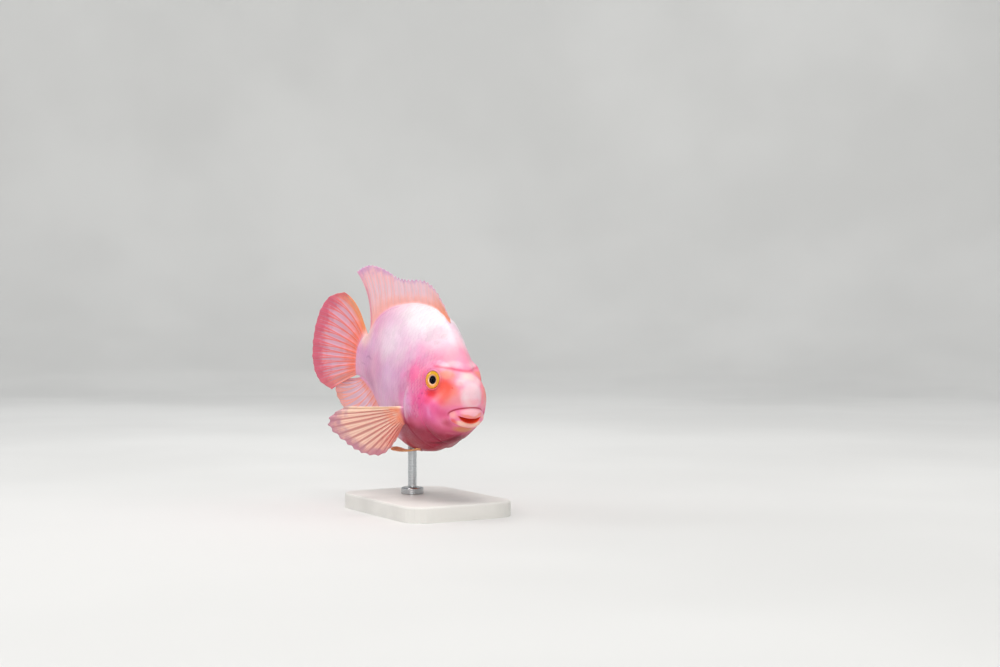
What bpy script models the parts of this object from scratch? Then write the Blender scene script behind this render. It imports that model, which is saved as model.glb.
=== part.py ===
"""A blood parrot cichlid at life size, swimming nose down with its tail swung to its right, on a
plain display stand.

The fish is laid out straight first, in shares of its standard length: station s runs back from
the front of the lips, y runs to the fish's left and z runs up from the middle of the tail
stalk. posed() then bends it and carries it to its place over the stand, in metres. The fish
faces +X, with its left side on +Y."""

import math

import bmesh
import bpy
import numpy as np
from mathutils import Vector
from mathutils.bvhtree import BVHTree

# Driving sizes, in metres and degrees
STANDARD_LENGTH = 0.175
GAP = 0.0003
NOSE_DOWN = 12.0
LEAN_LEFT = 1.0
BODY_TURN = 22.0
TAIL_TURN = 24.0
AXIS_HEIGHT = 0.104

# Where the bend starts, and where the tail fin takes it over, in shares of the length
BEND_START = 0.33
FIN_START = 0.955
FIN_REACH = 0.29

# The mesh of the body
RING_POINTS = 56
HEAD_RINGS = 38
TRUNK_RINGS = 16
STALK_RINGS = 6

# Hoops round the body, front to back. Each is hung on three rails: the back (s, z), the side
# (s, y, z) and the belly (s, z). Crown and keel set how boxy it is above and below.
HOOPS = (
    # name, back, side, belly, crown, keel
    ("throat", (0.060, -0.067), (0.070, 0.014, -0.060), (0.060, -0.074), 1.0, 1.0),
    ("mouth floor", (0.036, -0.066), (0.052, 0.042, -0.057), (0.040, -0.082), 1.0, 1.0),
    ("inner lip", (0.005, -0.0670), (0.026, 0.051, -0.0565), (0.012, -0.084), 0.95, 1.0),
    ("lip crest", (-0.008, -0.0495), (0.040, 0.073, -0.059), (0.001, -0.096), 1.0, 0.9),
    ("outer lip", (0.000, -0.027), (0.055, 0.082, -0.064), (0.015, -0.109), 1.05, 0.9),
    ("lip groove", (0.016, -0.019), (0.068, 0.086, -0.064), (0.036, -0.111), 1.10, 0.9),
    ("nose front", (0.010, 0.006), (0.088, 0.111, -0.040), (0.050, -0.125), 0.90, 0.9),
    ("nose", (0.017, 0.052), (0.112, 0.124, -0.028), (0.076, -0.150), 0.95, 0.9),
    ("snout", (0.042, 0.092), (0.138, 0.133, -0.022), (0.102, -0.178), 1.10, 0.95),
    ("brow notch", (0.088, 0.120), (0.166, 0.140, -0.024), (0.128, -0.200), 1.20, 1.0),
    ("brow", (0.126, 0.150), (0.200, 0.147, -0.030), (0.150, -0.215), 1.30, 1.0),
    ("forehead", (0.174, 0.198), (0.237, 0.155, -0.040), (0.172, -0.229), 1.34, 1.0),
    ("nape", (0.226, 0.244), (0.278, 0.161, -0.052), (0.196, -0.243), 1.36, 1.0),
    ("gill edge", (0.272, 0.281), (0.322, 0.165, -0.062), (0.225, -0.260), 1.30, 1.0),
    ("shoulder", (0.345, 0.311), (0.402, 0.167, -0.050), (0.310, -0.299), 1.15, 1.0),
    ("back peak", (0.450, 0.326), (0.505, 0.160, -0.030), (0.440, -0.325), 1.2, 1.0),
    ("loin", (0.570, 0.319), (0.600, 0.143, -0.012), (0.560, -0.318), 1.2, 1.05),
    ("vent", (0.690, 0.292), (0.700, 0.115, 0.000), (0.670, -0.275), 1.2, 1.1),
    ("anal fin", (0.795, 0.250), (0.785, 0.085, 0.002), (0.775, -0.208), 1.15, 1.1),
    ("stalk front", (0.868, 0.190), (0.860, 0.060, 0.004), (0.860, -0.142), 1.1, 1.1),
    ("stalk", (0.908, 0.133), (0.910, 0.045, 0.004), (0.915, -0.112), 1.05, 1.05),
    ("tail root", (0.928, 0.106), (0.965, 0.032, 0.004), (0.965, -0.104), 1.0, 1.0),
)
NAMES = [hoop[0] for hoop in HOOPS]
GILL_EDGE = float(NAMES.index("gill edge"))
STALK_FRONT = float(NAMES.index("stalk front"))
TAIL_ROOT = float(NAMES.index("tail root"))

# How much narrower the back or the keel is for each unit of crown or keel over 1
NARROWING = 0.9

# Relief of the head, in shares of the length
GILL_COVER_RISE = 0.007
CHEEK_GROOVE = (10.35, 0.0050, 0.16)
BROW_GROOVE = (0.117, 0.0020, 0.0110)
MUZZLE_GROOVE = (0.052, 0.0045, 0.0080)
CHEEK_RISE = 0.006

# Eye: its hoop and angle round the body, its size, how far its centre is sunk, and how far it
# looks forward and up. The skin is flat round it, out to EYE_PLAIN, and back in its own shape by
# the second value of that where it lies behind the flat, and by the third where it stands out.
EYE_HOOP = 10.0
EYE_ANGLE = 31.0
EYE_RADIUS = 0.045
EYE_FLATNESS = 0.50
EYE_SINK = 0.0155
EYE_FORWARD = 20.0
EYE_UP = 9.0
EYE_PLAIN = (0.048, 0.092, 0.125)
NOSTRIL_HOOP = 7.55
NOSTRIL_ANGLE = 50.0
NOSTRIL_RADIUS = 0.0065

# Fins, in metres of thickness
ROOT_THICKNESS = 0.0022
RAY_THICKNESS = 0.0013
WEB_THICKNESS = 0.0006
TIP_THICKNESS = 0.0005

# Reach of the pectoral rays, top to bottom: back, out to the side and up, in shares of the length
RIGHT_PECTORAL = ((0.130, 0.217, -0.026), (0.165, 0.286, -0.088), (0.118, 0.230, -0.145),
                  (0.068, 0.162, -0.176), (0.018, 0.084, -0.162), (0.004, 0.030, -0.080))
LEFT_PECTORAL = ((0.240, 0.095, -0.030), (0.290, 0.105, -0.085), (0.225, 0.085, -0.120),
                 (0.160, 0.065, -0.140), (0.090, 0.045, -0.125), (0.040, 0.020, -0.070))

# Stand
BASE_LENGTH = 0.130
BASE_WIDTH = 0.092
BASE_HEIGHT = 0.012
BASE_BEVEL = 0.0015
ROD_RADIUS = 0.0035
ROD_STATION = 0.50
COLLAR_RADIUS = 0.009
COLLAR_HEIGHT = 0.005

FISH_MATERIALS = {
    "pink_skin": ((0.86, 0.42, 0.45), 0.45),
    "peach_fin": ((0.90, 0.45, 0.36), 0.5),
    "gold_eye": ((0.85, 0.55, 0.12), 0.15),
}


def through(values, k):
    """A smooth curve through values, read at hoop number k, that never overshoots them."""
    values = np.asarray(values, float)
    k = np.asarray(k, float)
    step = np.diff(values)
    slope = np.zeros(len(values))
    slope[0], slope[-1] = step[0], step[-1]
    same = step[:-1] * step[1:] > 0
    total = np.where(same, step[:-1] + step[1:], 1.0)
    slope[1:-1] = np.where(same, 2 * step[:-1] * step[1:] / total, 0.0)
    i = np.clip(np.floor(k).astype(int), 0, len(values) - 2)
    t = k - i
    return (
        (2 * t**3 - 3 * t**2 + 1) * values[i]
        + (t**3 - 2 * t**2 + t) * slope[i]
        + (3 * t**2 - 2 * t**3) * values[i + 1]
        + (t**3 - t**2) * slope[i + 1]
    )


def rail(column, part, k):
    """One coordinate of one rail at hoop number k."""
    return through([hoop[column][part] for hoop in HOOPS], k)


def smooth_step(low, high, x):
    t = np.clip((np.asarray(x, float) - low) / (high - low), 0, 1)
    return t * t * (3 - 2 * t)


def bump(x, centre, width):
    return np.exp(-(((np.asarray(x, float) - centre) / width) ** 2))


def hull_point(k, angle):
    """The smooth body at hoop k and an angle in degrees, 0 on the left side and 90 on top."""
    k, angle = np.broadcast_arrays(np.asarray(k, float), np.radians(angle))
    across, upright = np.cos(angle), np.sin(angle)
    top = upright >= 0
    side_s, side_y, side_z = (rail(2, part, k) for part in range(3))
    end_s = np.where(top, rail(1, 0, k), rail(3, 0, k))
    end_z = np.where(top, rail(1, 1, k), rail(3, 1, k))
    crown = through([hoop[4] for hoop in HOOPS], k)
    keel = through([hoop[5] for hoop in HOOPS], k)
    boxy = np.where(top, crown, keel)
    # Below the side rail the gill cover keeps back, then sweeps forward under the breast
    sweep = np.where(top, 2.0, 2.0 + smooth_step(9, 13, k))
    s = side_s + (end_s - side_s) * np.abs(upright) ** sweep
    y = side_y * across * (1 - NARROWING * (boxy - 1) * upright**2)
    z = side_z + (end_z - side_z) * np.abs(upright)
    return np.stack([s, y, z], -1)


def hull_normal(k, angle):
    """The outward direction of the smooth body, by small steps along and round it."""
    dk, da = 0.02, 1.0
    along = hull_point(np.asarray(k) + dk, angle) - hull_point(np.asarray(k) - dk, angle)
    turn = hull_point(k, np.asarray(angle) + da) - hull_point(k, np.asarray(angle) - da)
    out = np.cross(turn, along)
    return out / np.maximum(np.linalg.norm(out, axis=-1, keepdims=True), 1e-9)


def eye_seat(side):
    """The point of skin that the eye is set in, and the way it looks, in the straight fish."""
    forward, up = math.radians(EYE_FORWARD), math.radians(EYE_UP)
    look = np.array([-math.sin(forward) * math.cos(up), math.cos(forward) * math.cos(up), math.sin(up)])
    mirror = np.array([1, side, 1])
    return hull_point(EYE_HOOP, EYE_ANGLE) * mirror, look * mirror


def relief(k, angle):
    """How far the head's skin stands out of the smooth body, in shares of the length."""
    k, angle = np.broadcast_arrays(np.asarray(k, float), np.asarray(angle, float))
    # Degrees above the side rail, the same on both sides of the fish
    lift = np.degrees(np.arcsin(np.clip(np.sin(np.radians(angle)), -1, 1)))
    on_flank = smooth_step(32, 0, lift) * smooth_step(-88, -70, lift)
    cover = GILL_COVER_RISE * smooth_step(10.6, 12.6, k) * (k <= GILL_EDGE + 0.001) * on_flank
    hoop, depth, width = CHEEK_GROOVE
    cheek_line = -depth * bump(k, hoop, width) * smooth_step(25, 5, lift) * smooth_step(-85, -60, lift)
    point = hull_point(k, angle)
    height, depth, width = BROW_GROOVE
    brow_line = -depth * bump(point[..., 2], height, width) * smooth_step(0.20, 0.16, point[..., 0])
    offset, depth, width = MUZZLE_GROOVE
    on_muzzle = smooth_step(-0.020, 0.005, point[..., 2]) * smooth_step(0.090, 0.060, point[..., 2])
    muzzle_line = -depth * bump(np.abs(point[..., 1]), offset, width) * on_muzzle * smooth_step(5.0, 5.6, k)
    cheek = CHEEK_RISE * bump(k, 8.6, 1.1) * bump(lift, -18, 26)
    return cover + cheek_line + brow_line + muzzle_line * (point[..., 0] < 0.12) + cheek


def skin_point(k, angle):
    """The body with its relief and the flat round each eye, in the straight fish."""
    raised = relief(k, angle)[..., None]
    out = hull_point(k, angle) + hull_normal(k, angle) * raised
    for side in (1, -1):
        seat, look = eye_seat(side)
        depth = (out - seat) @ look
        away = np.linalg.norm(out - seat - depth[..., None] * look, axis=-1)
        reach = np.where(depth < 0, EYE_PLAIN[1], EYE_PLAIN[2])
        flat = smooth_step(reach, EYE_PLAIN[0], away) * (out[..., 1] * side > 0)
        out = out - (depth * flat)[..., None] * look
    return out


def bend_table():
    """Station, distance back, distance right and heading along the bent middle of the fish."""
    station = np.linspace(-0.1, 1.6, 1701)
    body = np.clip((station - BEND_START) / (1 - BEND_START), 0, 1) ** 1.5
    fin = np.clip((station - FIN_START) / FIN_REACH, 0, 1.6)
    heading = np.radians(BODY_TURN) * body + np.radians(TAIL_TURN) * fin
    step = np.diff(station)
    middle = (heading[1:] + heading[:-1]) / 2
    back = station[0] + np.concatenate([[0], np.cumsum(step * np.cos(middle))])
    right = np.concatenate([[0], np.cumsum(step * np.sin(middle))])
    return station, back, right, heading


BEND = bend_table()


def posed(points):
    """Straight-fish points, in shares of the length, to their places over the stand, in metres."""
    points = np.asarray(points, float)
    s, y, z = points[..., 0], points[..., 1], points[..., 2]
    station, back, right, heading = BEND
    turn = np.interp(s, station, heading)
    forward = -(np.interp(s, station, back) + y * np.sin(turn))
    left = -np.interp(s, station, right) + y * np.cos(turn)
    pivot = -0.45
    forward = forward - pivot
    lean, pitch = math.radians(LEAN_LEFT), math.radians(NOSE_DOWN)
    left, up = left * math.cos(lean) + z * math.sin(lean), z * math.cos(lean) - left * math.sin(lean)
    ahead = forward * math.cos(pitch) + up * math.sin(pitch)
    up = up * math.cos(pitch) - forward * math.sin(pitch)
    place = np.stack([ahead, left, up], -1) * STANDARD_LENGTH
    return place + np.array([0.0, 0.0, AXIS_HEIGHT])


def material(name, colour, roughness, metallic=0.0):
    made = bpy.data.materials.new(name)
    made.use_nodes = True
    shader = made.node_tree.nodes["Principled BSDF"]
    shader.inputs["Base Color"].default_value = (*colour, 1)
    shader.inputs["Roughness"].default_value = roughness
    shader.inputs["Metallic"].default_value = metallic
    return made


def add_object(name, points, faces, finish, collection):
    mesh = bpy.data.meshes.new(name)
    mesh.from_pydata([tuple(map(float, p)) for p in points], [], [tuple(map(int, f)) for f in faces])
    mesh.materials.append(finish)
    mesh.shade_smooth()
    obj = bpy.data.objects.new(name, mesh)
    collection.objects.link(obj)
    return obj


def tube_faces(rings, count):
    """Triangles of a tube of rings, with the first and last rings closed round a middle point."""
    faces = []
    for r in range(rings - 1):
        for j in range(count):
            a, b = r * count + j, r * count + (j + 1) % count
            c, d = a + count, b + count
            faces += [(a, d, b), (a, c, d)]
    first, last = rings * count, rings * count + 1
    end = (rings - 1) * count
    for j in range(count):
        follow = (j + 1) % count
        faces.append((first, j, follow))
        faces.append((last, end + follow, end + j))
    return faces


def body_length(name, start, stop, rings, finish, collection, shift=0.0, inset=None):
    """One length of the body, from hoop start to hoop stop, closed at both ends.

    shift moves the front face back, in shares of the length, to leave the gap between nodes.
    inset is the station of the middle of each end face, or None for the mouth's flat floor."""
    angles = np.arange(RING_POINTS) * 360 / RING_POINTS
    hoops = np.linspace(start, stop, rings)
    points = skin_point(hoops[:, None], angles[None, :])
    slide = shift * np.clip(1 - (hoops - start) / (0.5 * (stop - start)), 0, 1)
    points[..., 0] += slide[:, None]
    middles = []
    for ring, centre_s in ((points[0], inset[0]), (points[-1], inset[1])):
        middle = ring.mean(axis=0)
        if centre_s is not None:
            middle[0] = centre_s
        middles.append(middle)
    flat = np.concatenate([points.reshape(-1, 3), np.array(middles)])
    return add_object(name, posed(flat), tube_faces(rings, RING_POINTS), finish, collection)


def fin_surface(roots, tips, bow, rows, scallop):
    """Points of a fin's middle sheet: columns are ray, web, ray, web, ..., and rows run outward.

    bow is each ray's sideways curve at half its length, as a vector. scallop is how far the
    edge dips between rays, as a share of the ray, one for each web."""
    roots, tips, bow = (np.asarray(x, float) for x in (roots, tips, bow))
    columns = 2 * len(roots) - 1
    out = np.zeros((rows + 1, columns, 3))
    for row in range(rows + 1):
        v = row / rows
        ray = roots * (1 - v) + tips * v + bow * (4 * v * (1 - v))
        out[row, 0::2] = ray
        dip = np.asarray(scallop)[:, None] * v**3
        web = (ray[:-1] + ray[1:]) / 2
        web_root = (roots[:-1] + roots[1:]) / 2
        out[row, 1::2] = web - (web - web_root) * dip
    return out


def sheet_normals(grid):
    along = np.gradient(grid, axis=0)
    across = np.gradient(grid, axis=1)
    out = np.cross(across, along)
    return out / np.linalg.norm(out, axis=-1, keepdims=True)


def fin_thickness(rows, columns, root_thickness, flare):
    """Thickness over a fin's sheet: fleshy at the root, ribbed by the rays, thin at the edge."""
    v = np.linspace(0, 1, rows + 1)[:, None]
    is_ray = (np.arange(columns) % 2 == 0)[None, :]
    ray = RAY_THICKNESS + (WEB_THICKNESS - RAY_THICKNESS) * v**1.2
    plain = np.where(is_ray, ray, WEB_THICKNESS)
    plain = plain + (TIP_THICKNESS - WEB_THICKNESS) * (v > 0.999)
    flesh = (root_thickness - plain) * np.clip(1 - v / flare, 0, 1) ** 2
    return plain + flesh


def skin_tree(pieces):
    """A search tree over the outside of some pieces of the body."""
    points, faces = [], []
    for obj in pieces:
        start = len(points)
        points += [v.co.copy() for v in obj.data.vertices]
        faces += [tuple(start + i for i in f.vertices) for f in obj.data.polygons]
    return BVHTree.FromPolygons(points, faces)


def seated(points, tree):
    """Moves the points of a fin's root to the skin under them, less the gap between nodes."""
    out = []
    for point in points:
        at, normal, _, _ = tree.find_nearest(Vector(point))
        out.append(at + normal * GAP)
    return np.array(out)


def fin_object(name, roots, tips, bow, finish, collection, rows=6, scallop=None, root_thickness=ROOT_THICKNESS,
               flare=0.3, tree=None):
    """A fin as one closed solid, ribbed on both faces, split into like triangles on both."""
    if scallop is None:
        scallop = np.full(len(roots) - 1, 0.03)
    grid = posed(fin_surface(roots, tips, bow, rows, scallop))
    columns = grid.shape[1]
    half = fin_thickness(rows, columns, root_thickness, flare)[..., None] / 2
    normal = sheet_normals(grid)
    front = (grid + normal * half).reshape(-1, 3)
    back = (grid - normal * half).reshape(-1, 3)
    middle = grid[0].copy()
    if tree is not None:
        front[:columns] = seated(front[:columns], tree)
        back[:columns] = seated(back[:columns], tree)
        middle = seated(middle, tree)
    count = len(front)
    faces = []
    for r in range(rows):
        for c in range(columns - 1):
            a = r * columns + c
            b, d, e = a + 1, a + columns, a + columns + 1
            faces += [(a, b, e), (a, e, d)]
            faces += [(b + count, a + count, e + count), (e + count, a + count, d + count)]
    # The root's own strip has a middle row, which follows the ridge of the back or keel
    for c in range(columns - 1):
        a, b, m = c, c + 1, 2 * count + c
        faces += [(b, a, m), (b, m, m + 1), (m, a + count, b + count), (m, b + count, m + 1)]
    faces.append((0, count, 2 * count))
    faces.append((columns - 1, 2 * count + columns - 1, count + columns - 1))
    edge = [r * columns + columns - 1 for r in range(rows + 1)]
    edge += [rows * columns + c for c in range(columns - 2, -1, -1)]
    edge += [r * columns for r in range(rows - 1, -1, -1)]
    for a, b in zip(edge, edge[1:]):
        faces += [(b, a, a + count), (b, a + count, b + count)]
    return add_object(name, np.concatenate([front, back, middle]), faces, finish, collection)


def back_at(station):
    """Height of the back's midline at a station."""
    k = np.linspace(5, TAIL_ROOT, 400)
    return np.interp(station, rail(1, 0, k), rail(1, 1, k))


def belly_at(station):
    """Height of the belly's midline at a station."""
    k = np.linspace(5, TAIL_ROOT, 400)
    return np.interp(station, rail(3, 0, k), rail(3, 1, k))


def swept(count, knots):
    """Values for each of count rays, on the smoothest curve through evenly spaced knots."""
    knots = np.asarray(knots, float)
    last = len(knots) - 1
    link, pull = np.eye(last + 1), np.zeros(last + 1)
    for i in range(1, last):
        link[i, i - 1:i + 2] = (1, 4, 1)
        pull[i] = 6 * (knots[i - 1] - 2 * knots[i] + knots[i + 1])
    bend = np.linalg.solve(link, pull)
    k = np.linspace(0, last, count)
    i = np.clip(k.astype(int), 0, last - 1)
    t = k - i
    near, far = 1 - t, t
    return near * knots[i] + far * knots[i + 1] + ((far**3 - far) * bend[i + 1] + (near**3 - near) * bend[i]) / 6


def median_fin(name, stations, edge, spines, curl, sag, rail_height, tree, finish, collection):
    """A fin on the back or belly's midline, from its rays' root stations and its edge.

    edge holds the knots (s, z) of the ray tips, front to back. curl holds the sideways knots
    of the tips, and sag how far each ray bows, as a share of its length."""
    count = len(stations)
    roots = np.stack([stations, np.zeros(count), rail_height(stations)], -1)
    tip_s, tip_z = (swept(count, [knot[i] for knot in edge]) for i in (0, 1))
    tips = np.stack([tip_s, swept(count, curl), tip_z], -1)
    ray = tips - roots
    ahead = np.stack([-np.abs(ray[:, 2]), np.zeros(count), np.abs(ray[:, 0]) * np.sign(ray[:, 2])], -1)
    bow = ahead * swept(count, sag)[:, None]
    bow[:, 1] = -0.2 * tips[:, 1]
    scallop = np.where(np.arange(count - 1) < spines, 0.07, 0.02)
    return fin_object(name, roots, tips, bow, finish, collection, 6, scallop, tree=tree)


def dorsal_fin(tree, finish, collection):
    """Seventeen spines and eleven soft rays, which rise to a pointed lobe behind."""
    stations = swept(28, (0.290, 0.400, 0.510, 0.620, 0.725, 0.815, 0.882, 0.920))
    edge = ((0.298, 0.312), (0.425, 0.394), (0.550, 0.432), (0.675, 0.416),
            (0.775, 0.410), (0.880, 0.430), (0.975, 0.430), (1.034, 0.390))
    curl = (0, 0, 0, 0, 0.002, 0.002, -0.004, -0.012)
    sag = (0.02, 0.04, 0.05, 0.05, 0.05, 0.06, 0.08, 0.11)
    return median_fin("dorsal_fin", stations, edge, 17, curl, sag, back_at, tree, finish, collection)


def anal_fin(tree, finish, collection):
    """Eight spines and nine soft rays, drawn out to a point behind."""
    stations = swept(17, (0.640, 0.710, 0.780, 0.850, 0.910, 0.950))
    edge = ((0.680, -0.310), (0.790, -0.345), (0.900, -0.345), (1.020, -0.305),
            (1.110, -0.215), (1.100, -0.130))
    curl = (0, 0, 0.004, 0.014, 0.030, 0.034)
    sag = (0.03, 0.05, 0.06, 0.07, 0.08, 0.08)
    return median_fin("anal_fin", stations, edge, 8, curl, sag, belly_at, tree, finish, collection)


def tail_fin(finish, collection):
    """Seventeen rays spread from the end of the tail stalk, whose end they follow."""
    count = 17
    height = np.linspace(-0.097, 0.097, count)
    k = np.full(181, TAIL_ROOT)
    end = hull_point(k, np.linspace(-90, 90, 181))
    clear = GAP / STANDARD_LENGTH
    roots = np.stack([np.interp(height, end[:, 2], end[:, 0]) + clear, np.zeros(count), height], -1)
    edge = ((1.114, -0.204), (1.178, -0.180), (1.217, -0.128), (1.236, -0.060), (1.241, 0.012),
            (1.237, 0.088), (1.221, 0.168), (1.179, 0.243), (1.100, 0.279))
    tips = np.stack([swept(count, [knot[0] for knot in edge]), np.zeros(count),
                     swept(count, [knot[1] for knot in edge])], -1)
    rise = np.abs((tips - roots)[:, 2])
    bow = np.stack([-0.03 * rise, np.zeros(count), (0.13 + 0.05 * np.sign(tips[:, 2])) * rise], -1)
    return fin_object("tail_fin", roots, tips, bow, finish, collection, 7, np.full(count - 1, 0.005), 0.0075, 0.28)


def flank_point(station, height, side):
    """The skin at a station and height on one side, in the straight fish."""
    hoops = np.linspace(8, STALK_FRONT, 240)
    angles = np.linspace(-85, 60, 240)
    grid = skin_point(hoops[:, None], angles[None, :])
    miss = (grid[..., 0] - station) ** 2 + (grid[..., 2] - height) ** 2
    at = np.unravel_index(np.argmin(miss), miss.shape)
    return grid[at] * np.array([1, side, 1])


def pectoral_fin(side, reach, tree, finish, collection):
    """Fourteen rays fanned from the shoulder. reach holds the knots of the rays, top to bottom."""
    count = 14
    name = "pectoral_fin_left" if side > 0 else "pectoral_fin_right"
    top = flank_point(0.338, -0.096, side)
    low = flank_point(0.346, -0.176, side)
    out = np.array([0, side * (GAP / STANDARD_LENGTH + 0.003), 0])
    v = np.linspace(0, 1, count)[:, None]
    roots = (top + out) * (1 - v) + (low + out) * v
    rays = np.stack([swept(count, [knot[i] for knot in reach]) for i in range(3)], -1)
    rays[:, 1] *= side
    length = np.linalg.norm(rays, axis=1)[:, None]
    bow = np.array([-0.040, side * 0.030, 0.0]) * length
    return fin_object(name, roots, roots + rays, bow, finish, collection, 7, None, 0.0036, 0.22, tree)


def pelvic_fin(side, tree, finish, collection):
    """One spine and five soft rays under the breast, laid back along the belly."""
    count = 6
    name = "pelvic_fin_left" if side > 0 else "pelvic_fin_right"
    station = np.linspace(0.345, 0.380, count)
    width = np.linspace(0.046, 0.020, count)
    clear = GAP / STANDARD_LENGTH
    roots = []
    for s, y in zip(station, width):
        roots.append((s, side * y, belly_under(s, y) - clear))
    roots = np.array(roots)
    length = swept(count, (0.165, 0.215, 0.205, 0.150))
    drop = np.radians(swept(count, (17, 13, 10, 9)))
    out = np.radians(swept(count, (16, 11, 8, 7)))
    tips = roots + np.stack(
        [np.cos(drop) * length, side * np.sin(out) * length, -np.sin(drop) * length], -1
    )
    bow = np.stack([0.0 * length, 0.0 * length, -0.06 * length], -1)
    return fin_object(name, roots, tips, bow, finish, collection, 6, None, 0.0030, 0.25, tree)


def belly_under(station, offset):
    """Height of the belly's skin at a station and a distance from the midline."""
    hoops = np.linspace(9, STALK_FRONT, 300)
    angles = np.linspace(-90, -20, 200)
    grid = skin_point(hoops[:, None], angles[None, :])
    miss = (grid[..., 0] - station) ** 2 + (grid[..., 1] - offset) ** 2
    at = np.unravel_index(np.argmin(miss), miss.shape)
    return grid[at][2]


def eye_frame(side):
    """The eye's centre and the way it looks, posed, in metres."""
    seat, look = eye_seat(side)
    centre, front = posed(seat - look * EYE_SINK), posed(seat)
    return Vector(centre), Vector(front - centre).normalized()


def ball(name, centre, axis, radius, flatness, segments, collection):
    """A flattened ball whose short way is along axis, left with flat faces."""
    made = bmesh.new()
    bmesh.ops.create_uvsphere(made, u_segments=segments, v_segments=segments // 2, radius=radius)
    bmesh.ops.scale(made, vec=(1, 1, flatness), verts=made.verts)
    turn = axis.to_track_quat("Z", "Y").to_matrix()
    bmesh.ops.rotate(made, matrix=turn, verts=made.verts)
    mesh = bpy.data.meshes.new(name)
    made.to_mesh(mesh)
    made.free()
    obj = bpy.data.objects.new(name, mesh)
    obj.location = centre
    collection.objects.link(obj)
    return obj


def cut(obj, cutters):
    """Takes each cutter out of obj by a Boolean, and hides it as a guide."""
    for cutter in cutters:
        cutter.hide_render = True
        cutter.display_type = "WIRE"
        hole = obj.modifiers.new("Cut " + cutter.name, "BOOLEAN")
        hole.operation = "DIFFERENCE"
        hole.object = cutter
        hole.solver = "EXACT"


def eyes_and_nostrils(head, finish, collection, cutters):
    """Two eyes in their sockets, and the two nostril pits."""
    radius = EYE_RADIUS * STANDARD_LENGTH
    holes = []
    for side, word in ((1, "left"), (-1, "right")):
        centre, axis = eye_frame(side)
        eye = ball(f"eye_{word}", centre, axis, radius, EYE_FLATNESS, 22, collection)
        eye.data.shade_smooth()
        eye.data.materials.append(finish)
        depth = EYE_FLATNESS * radius + GAP
        wide = radius + GAP
        holes.append(ball(f"socket_{word}", centre, axis, wide, depth / wide, 22, cutters))
        pit = skin_point(NOSTRIL_HOOP, NOSTRIL_ANGLE if side > 0 else 180 - NOSTRIL_ANGLE)
        at = Vector(posed(pit))
        holes.append(ball(f"nostril_{word}", at, axis, NOSTRIL_RADIUS * STANDARD_LENGTH, 0.8, 10, cutters))
    cut(head, holes)


def rounded_plate(name, length, width, height, bevel, finish, collection):
    """A flat plate with rounded corners and a small bevel, standing on z = 0."""
    made = bmesh.new()
    bmesh.ops.create_cube(made, size=1.0)
    bmesh.ops.scale(made, vec=(length, width, height), verts=made.verts)
    bmesh.ops.translate(made, vec=(0, 0, height / 2), verts=made.verts)
    upright = [e for e in made.edges if abs(e.verts[0].co.z - e.verts[1].co.z) > height / 2]
    bmesh.ops.bevel(made, geom=upright, offset=width * 0.18, segments=6, affect="EDGES", profile=0.5)
    rim = [e for e in made.edges if all(v.co.z > height * 0.9 for v in e.verts) and len(e.link_faces) == 2
           and any(abs(f.normal.z) < 0.5 for f in e.link_faces)]
    bmesh.ops.bevel(made, geom=rim, offset=bevel, segments=2, affect="EDGES", profile=0.5)
    bmesh.ops.triangulate(made, faces=made.faces)
    mesh = bpy.data.meshes.new(name)
    made.to_mesh(mesh)
    made.free()
    mesh.materials.append(finish)
    obj = bpy.data.objects.new(name, mesh)
    collection.objects.link(obj)
    return obj


def turned(name, profile, place, segments, finish, collection):
    """A turned piece: profile is (radius, height) from the top down, with its ends on the axis."""
    mesh = bpy.data.meshes.new(name)
    mesh.from_pydata([(r, 0, z) for r, z in profile], [(i, i + 1) for i in range(len(profile) - 1)], [])
    mesh.materials.append(finish)
    obj = bpy.data.objects.new(name, mesh)
    obj.location = place
    collection.objects.link(obj)
    spin = obj.modifiers.new("Turn", "SCREW")
    spin.steps = spin.render_steps = segments
    spin.use_merge_vertices = True
    spin.merge_threshold = 0.0001
    return obj


def stand(trunk, dark, steel, collection):
    """A flat base, and one rod with a collar whose top is shaped to the belly."""
    spot = posed(np.array([ROD_STATION, 0.0, belly_at(ROD_STATION)]))
    rounded_plate("stand_base", BASE_LENGTH, BASE_WIDTH, BASE_HEIGHT, BASE_BEVEL, dark, collection)
    foot = BASE_HEIGHT + GAP
    collar = ((0.0, COLLAR_HEIGHT), (COLLAR_RADIUS - 0.001, COLLAR_HEIGHT), (COLLAR_RADIUS, COLLAR_HEIGHT - 0.001),
              (COLLAR_RADIUS, 0.0), (0.0, 0.0))
    turned("stand_collar", collar, (spot[0], spot[1], foot), 28, steel, collection)
    under = BVHTree.FromObject(trunk, bpy.context.evaluated_depsgraph_get())
    sides = 20
    low = foot + COLLAR_HEIGHT + GAP
    ring = [(spot[0] + ROD_RADIUS * math.cos(2 * math.pi * j / sides),
             spot[1] + ROD_RADIUS * math.sin(2 * math.pi * j / sides)) for j in range(sides)]
    points = [(x, y, belly_height(under, x, y) - GAP) for x, y in ring]
    points += [(x, y, low) for x, y in ring]
    points += [(spot[0], spot[1], belly_height(under, spot[0], spot[1]) - GAP), (spot[0], spot[1], low)]
    rod = add_object("stand_rod", points, tube_faces(2, sides), steel, collection)
    rod.data.set_sharp_from_angle(angle=math.radians(40))


def belly_height(tree, x, y):
    """Height of the first skin met going straight up from the base."""
    hit = tree.ray_cast(Vector((x, y, 0)), Vector((0, 0, 1)))[0]
    return hit.z


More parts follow.
